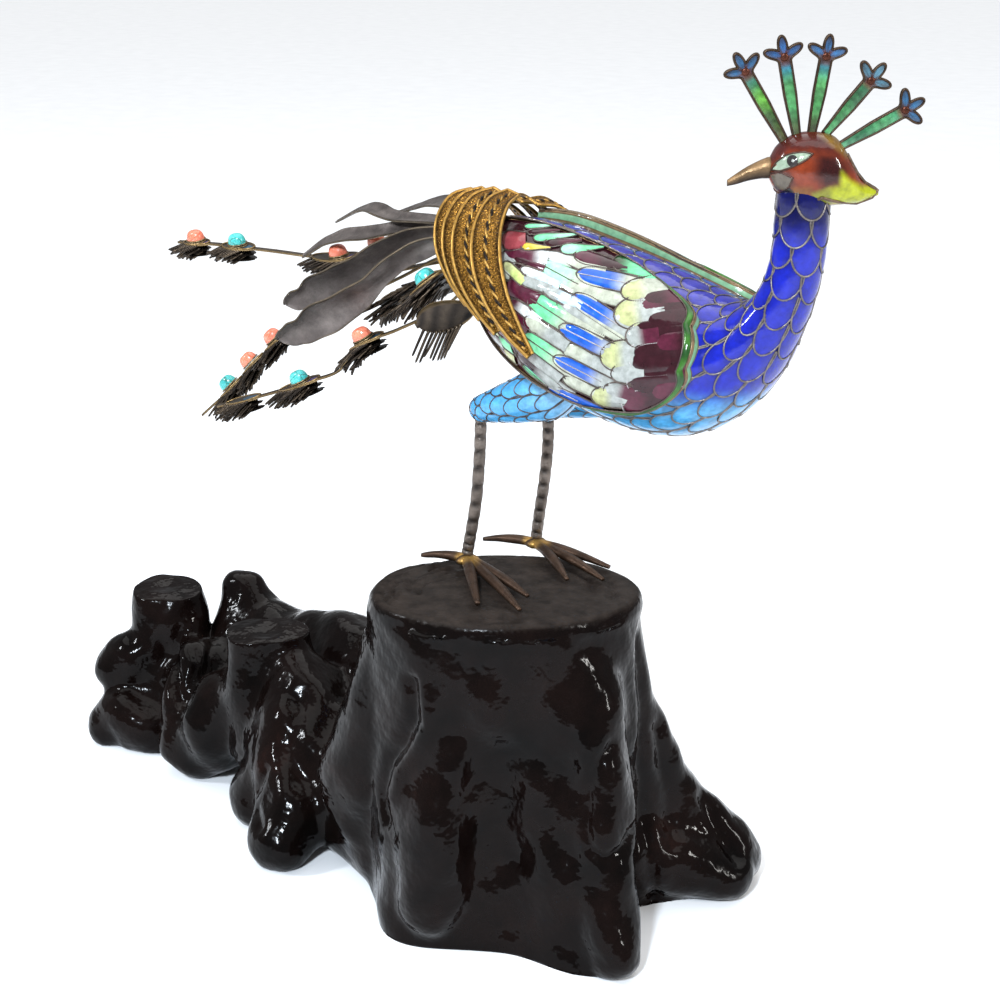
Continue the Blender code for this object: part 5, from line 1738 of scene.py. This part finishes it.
# Stand: the solid's lobes joined to one skin, then creases and hollows laid out in the picture.
STUMP_MIDDLE = mm(-0.6, 0.5, 0)
STUMP_TOP_LONG = 23.4 * MM
STUMP_TOP_SHORT = 16.5 * MM
STUMP_CORE = 21.5 * MM
VOXEL = 0.8 * MM
# Direction in degrees, reach in mm, half angle in degrees, and how late it flares
ROOTS = [
    (-97, 5.0, 22, 1.3),
    (-18, 11.0, 17, 1.9),
    (43, 17.0, 16, 3.4),
    (96, 14.5, 22, 1.8),
    (150, 9.0, 24, 1.6),
    (-140, 3.0, 18, 1.0),
]


def top_reach(degrees):
    """Distance of the stump's oval top edge from its axis."""
    turn = math.radians(degrees) - VIEW_ANGLE
    return 1 / math.sqrt((math.cos(turn) / STUMP_TOP_LONG) ** 2 + (math.sin(turn) / STUMP_TOP_SHORT) ** 2)


def stump_radius(degrees, z):
    """Distance of the stump's side from its axis."""
    down = 1 - z / STUMP_HEIGHT
    top = top_reach(degrees)
    r = top + (STUMP_CORE - top) * down
    for direction, reach, width, power in ROOTS:
        away = angle_between(degrees, direction) / width
        r += reach * MM * math.exp(-away * away) * (0.10 * math.sin(math.pi * down) + max(down, 0) ** power)
    return r


# Ridges of the wood: rows of x, y, z and radius in mm

RIDGES = [
    [(1, -6, 48, 7), (1, -12.5, 34, 8), (1.5, -17.5, 20, 8), (1.5, -20.5, 7, 6.5)],
    [(-14, -9.6, 46.5, 8.2), (-17, -11, 33, 9), (-21, -12, 20, 10), (-19, -12, 12, 8)],
    [(13, 2, 50, 6.5), (17.5, 0.5, 42, 6.5), (21.5, -1.5, 28, 6), (25.5, -4.5, 14, 5.8), (31, -7.6, 4.0, 5)],
    [(7, 7, 46, 7), (11.2, 12.6, 37, 7), (15.2, 18.0, 27, 7), (19, 22.6, 15, 7), (29.2, 30.2, 4.4, 5.2)],
    [(18, 14, 9, 8), (25, 20, 6, 6.5), (31.5, 24.5, 3.5, 4.6)],
    [(-10, 10, 46, 9), (-13, 16, 28, 10), (-15, 24, 12, 9), (-17, 30, 4, 6)],
    [(3, 15, 44, 8), (4, 24, 26, 7), (5, 31, 12, 6.5), (6, 36, 3, 5)],
    [(-16, -4, 8, 15), (-30, -3, 10, 14), (-46, 0, 12, 13), (-60, 2, 11, 12), (-78, 4, 9, 11),
     (-90, 5, 8, 9)],
    [(-57, -3, 12, 11), (-60, -6.5, 22, 6.6), (-61, -5.8, 38, 4.6)],
    [(-57, -3, 12, 11), (-57, -1, 22, 7), (-57, -2.2, 38, 4.8)],
    [(-52, -3, 25, 7), (-46, -7, 18, 9.5), (-40, -14, 10, 8.5), (-36.5, -21.5, 4, 6.4)],
    [(-50, -2, 18, 11), (-48, -9, 9, 10), (-51, -13, 4, 7)],
    [(-62, -4, 20, 8), (-69, -7, 13, 8.5), (-74, -9.5, 6, 7.5)],
    [(-92, -2, 10, 9), (-95, -1, 20, 7.4), (-98.5, 0.2, 36, 4.6)],
    [(-92, -2, 10, 9), (-94, 0, 20, 7.4), (-96, 2.4, 36, 4.6)],
    [(-94, -2, 16, 6.5), (-99.5, -6.5, 15.5, 6.6), (-101.5, -9.5, 14, 5.6)],
    [(-90, -8, 4, 7), (-97, -12, 5, 6.8), (-99.5, -14.5, 3.5, 5.2)],
    [(-82, 2, 14, 7), (-83, -3, 19, 5.2), (-80, -9, 12, 5), (-78, -11.5, 6, 5)],
    [(-82, 10, 10, 11), (-84, 13, 20, 9), (-87, 14, 28.5, 5)],
    [(-80, 13, 20, 8), (-68, 14, 21, 8), (-56, 14, 24, 8), (-42, 12, 24, 8), (-26, 9, 24, 9)],
    [(-90, 8, 8, 9), (-99, 13, 5, 6)],
    [(-70, 16, 8, 11), (-74, 27, 4, 7)],
    [(-44, 12, 10, 14), (-42, 26, 4, 8)],
]
# Saw cuts of the stubs: x, y, z and radius of the cut in mm
STUBS = [(-97.3, 1.2, 31.0, 11.0), (-59.0, -4.0, 34.0, 12.0)]
STUB_TILT = math.radians(5.0)
# Carved lines in the picture: outline in pixels, half width in mm, depth in mm (negative stands out).
CREASES = [
    ([(412, 682), (416, 700), (415, 722), (400, 744), (387, 760), (382, 794), (387, 822)], 1.5, 1.0),
    ([(424, 700), (428, 726), (412, 752), (400, 775), (396, 800)], 2.2, -0.7),
    ([(640, 640), (642, 700), (640, 760), (643, 800), (650, 860), (656, 905)], 1.5, 0.9),
    ([(612, 745), (600, 760), (589, 790), (586, 825), (592, 850), (606, 858), (622, 848), (632, 828)],
     0.9, 0.7),
    ([(617, 770), (606, 800), (606, 830)], 3.0, -0.9),
    ([(505, 762), (497, 790), (500, 830), (512, 862)], 4.2, 1.7),
    ([(530, 700), (520, 730), (514, 760)], 3.0, 0.8),
    ([(556, 770), (560, 800), (556, 830), (564, 860)], 2.2, 0.7),
    ([(470, 790), (468, 830), (474, 880)], 3.2, 0.6),
    ([(163, 655), (152, 668), (150, 684), (160, 694)], 3.6, 2.2),
    ([(180, 632), (174, 655), (176, 688), (182, 705)], 1.1, 1.0),
    ([(192, 640), (198, 662), (190, 690), (184, 700)], 0.9, 0.5),
    ([(215, 640), (210, 668), (190, 700), (176, 722)], 1.2, 0.7),
    ([(262, 770), (250, 800), (258, 830)], 1.2, 0.6),
    ([(300, 700), (292, 740), (300, 780)], 3.0, 1.3),
    ([(705, 800), (722, 838), (738, 862)], 1.6, 0.9),
    ([(660, 730), (668, 790), (676, 850)], 2.0, 0.9),
]
CREASE_DEPTH = 1.3
# Shallow knife-worked swells over the sides: ways they run, length of a swell and height, in mm
SWELLS = [
    ((0.9, 0.3, 0.25), 13.0, 0.32),
    ((0.2, 0.95, 0.5), 9.0, 0.24),
    ((0.5, -0.6, 0.9), 17.0, 0.34),
    ((0.8, 0.7, -0.6), 6.5, 0.12),
]
# Saw marks on the stump's top: share of the way out, and the degrees they run from and to
TOP_GROOVES = [(0.90, 120, 250), (0.80, 135, 245), (0.70, 130, 235), (0.62, 150, 240), (0.52, 140, 215),
               (0.86, 280, 330), (0.74, 290, 335), (0.42, 100, 190), (0.80, 20, 75), (0.66, 30, 80)]
GROOVE_DEPTH = 0.7 * MM
GROOVE_HALF = 0.55 * MM


def add_ridge(skin, rows):
    steps = 5 * (len(rows) - 1)
    samples = [spline(rows, (len(rows) - 1) * i / steps) for i in range(steps + 1)]
    path = [mm(*s[:3]) for s in samples]
    radii = [s[3] * MM for s in samples]
    first = (path[0] - path[1]).normalized() * radii[0]
    last = (path[-1] - path[-2]).normalized() * radii[-1]
    start, end = path[0], path[-1]
    path = [start + first * 0.9, start + first * 0.55, *path, end + last * 0.55, end + last * 0.9]
    radii = [radii[0] * 0.42, radii[0] * 0.83, *radii, radii[-1] * 0.83, radii[-1] * 0.42]
    skin.tube(path, radii, 24)


def stand_shape():
    """Stump and ridges grown together to one soft skin."""
    skin = Skin()
    levels, count = 26, 84
    rings = []
    for i in range(levels + 1):
        z = -3 * MM + (STUMP_HEIGHT + 3 * MM) * i / levels
        ring = []
        for k in range(count):
            r = stump_radius(360 * k / count, max(z, 0.0))
            a = round_angle(k, count)
            ring.append((STUMP_MIDDLE + Vector((r * math.cos(a), r * math.sin(a), z)), (1, 1, 1)))
        rings.append(ring)
    skin.closed(rings)
    for rows in RIDGES:
        add_ridge(skin, rows)
    mesh = bpy.data.meshes.new("lobes")
    mesh.from_pydata(skin.points, [], skin.faces)
    obj = bpy.data.objects.new("lobes", mesh)
    bpy.context.scene.collection.objects.link(obj)
    grow = obj.modifiers.new("one_skin", "REMESH")
    grow.mode = "VOXEL"
    grow.voxel_size = VOXEL
    soften = obj.modifiers.new("soften", "SMOOTH")
    soften.factor = 0.5
    soften.iterations = 14
    shown = obj.evaluated_get(bpy.context.evaluated_depsgraph_get())
    bm = bmesh.new()
    bm.from_mesh(shown.to_mesh())
    shown.to_mesh_clear()
    bpy.data.objects.remove(obj)
    bpy.data.meshes.remove(mesh)
    return bm


def crease_push(tree, spots):
    """How far each point moves out for the carved lines."""
    push = np.zeros(len(spots))
    for outline, half, depth in CREASES:
        best = np.full(len(spots), 1e9)
        path = [Vector(p) for p in outline]
        for a, b in zip(path, path[1:]):
            for k in range(8):
                q = a.lerp(b, k / 8)
                hit = tree.ray_cast(EYE, sight(q.x, q.y))[0]
                if hit is not None:
                    best = np.minimum(best, np.linalg.norm(spots - np.array(hit), axis=1))
        push -= depth * CREASE_DEPTH * MM * np.exp(-(best / (half * MM)) ** 2)
    return push


def swell_push(spots):
    """How far each point of the sides moves out for the knife-worked swells."""
    push = np.zeros(len(spots))
    sides = np.clip((STUMP_HEIGHT - 2.5 * MM - spots[:, 2]) / (2 * MM), 0, 1)
    sides *= np.clip(spots[:, 2] / (4 * MM), 0, 1)
    wander = np.sin(spots @ np.array([110.0, -70.0, 90.0]))
    for way, long, high in SWELLS:
        wave = spots @ np.array(Vector(way).normalized()) * 2 * math.pi / (long * MM)
        push += sides * high * MM * np.sin(wave + 1.3 * wander + long)
    return push


def cut_stubs(spots):
    """Presses the stubs' tops flat, with a dished heart and a worn edge."""
    tilt = Matrix.Rotation(STUB_TILT, 4, HEAD_BACK)
    up = np.array(tilt @ Vector((0, 0, 1)))
    for x, y, z, radius in STUBS:
        off = spots - np.array(mm(x, y, z))
        high = off @ up
        flat = np.linalg.norm(off - np.outer(high, up), axis=1)
        inside = (flat < radius * MM) & (high > -0.6 * MM)
        dish = 0.5 * MM * np.clip(1 - flat / (3.6 * MM), 0, 1)
        target = -dish - 0.35 * MM * np.clip(flat / (5.0 * MM) - 0.7, 0, 1)
        move = np.where(inside & (high > target), target - high, 0.0)
        spots += up * move[:, None]


def wear_top(spots):
    """Cuts the saw marks and the worn rim; gives each point's share of the way out to the top's edge."""
    off = spots - np.array(STUMP_MIDDLE)
    degrees = np.degrees(np.arctan2(off[:, 1], off[:, 0])) % 360
    turn = np.radians(degrees)
    edge = np.array([top_reach(d) for d in degrees])
    share = np.hypot(off[:, 0], off[:, 1]) / edge
    level = off[:, 2] > STUMP_HEIGHT - 1.2 * MM
    for radius, start, end in TOP_GROOVES:
        wobble = radius + 0.02 * np.sin(turn * 5 + radius * 40)
        on = (degrees > start) & (degrees < end)
        fade = np.clip(np.minimum(degrees - start, end - degrees) / 14.0, 0, 1)
        groove = GROOVE_DEPTH * fade * np.exp(-((share - wobble) * edge / GROOVE_HALF) ** 2)
        spots[:, 2] -= np.where(level & on, groove, 0.0)
    worn = np.clip((share - 0.93 + 0.02 * np.sin(turn * 7)) / 0.09, 0, 1)
    drop = (1.0 + 0.35 * np.sin(turn * 11)) * MM * worn ** 2
    spots[:, 2] -= np.where(off[:, 2] > STUMP_HEIGHT - 2.0 * MM, drop, 0.0)
    return share


def make_stand():
    bm = stand_shape()
    bmesh.ops.recalc_face_normals(bm, faces=bm.faces[:])
    bm.normal_update()
    spots = np.array([tuple(v.co) for v in bm.verts])
    normals = np.array([tuple(v.normal) for v in bm.verts])
    push = crease_push(BVHTree.FromBMesh(bm), spots) + swell_push(spots)
    spots += normals * push[:, None]
    cut_stubs(spots)
    share = wear_top(spots)
    spots[:, 2] = np.where(spots[:, 2] < 0.0, 0.0, spots[:, 2])
    for vert, spot in zip(bm.verts, spots):
        vert.co = Vector(spot) + SHIFT
    bmesh.ops.recalc_face_normals(bm, faces=bm.faces[:])
    mesh = bpy.data.meshes.new("stand_lacquer")
    bm.to_mesh(mesh)
    bm.free()
    tint = mesh.color_attributes.new("tint", "FLOAT_COLOR", "POINT")
    shade = np.ones((len(spots), 4), dtype=np.float32)
    near_top = np.clip((spots[:, 2] - (STUMP_HEIGHT - 0.9 * MM)) / (0.5 * MM), 0, 1)
    shade[:, 0] = near_top * np.clip((1.02 - share) / 0.06, 0, 1)
    tint.data.foreach_set("color", shade.ravel())
    mesh.shade_smooth()
    mesh.materials.append(LACQUER)
    place("stand_lacquer", mesh, "lacquered_wood", ("stand",))


make_wing("right", False)
make_wing("left", True)
make_head()
make_beak()
make_crest()
make_thigh("thigh_right", (0, 0, 0))
make_thigh("thigh_left", THIGH_SHIFT_LEFT)
make_leg("leg_right", LEG_RIGHT)
make_leg("leg_left", LEG_LEFT)
make_foot("foot_right", LEG_RIGHT[-1], TOES_RIGHT, 1)
make_foot("foot_left", LEG_LEFT[-1], TOES_LEFT, 2)
make_leaves()
make_tail()
make_stand()
make_floor()
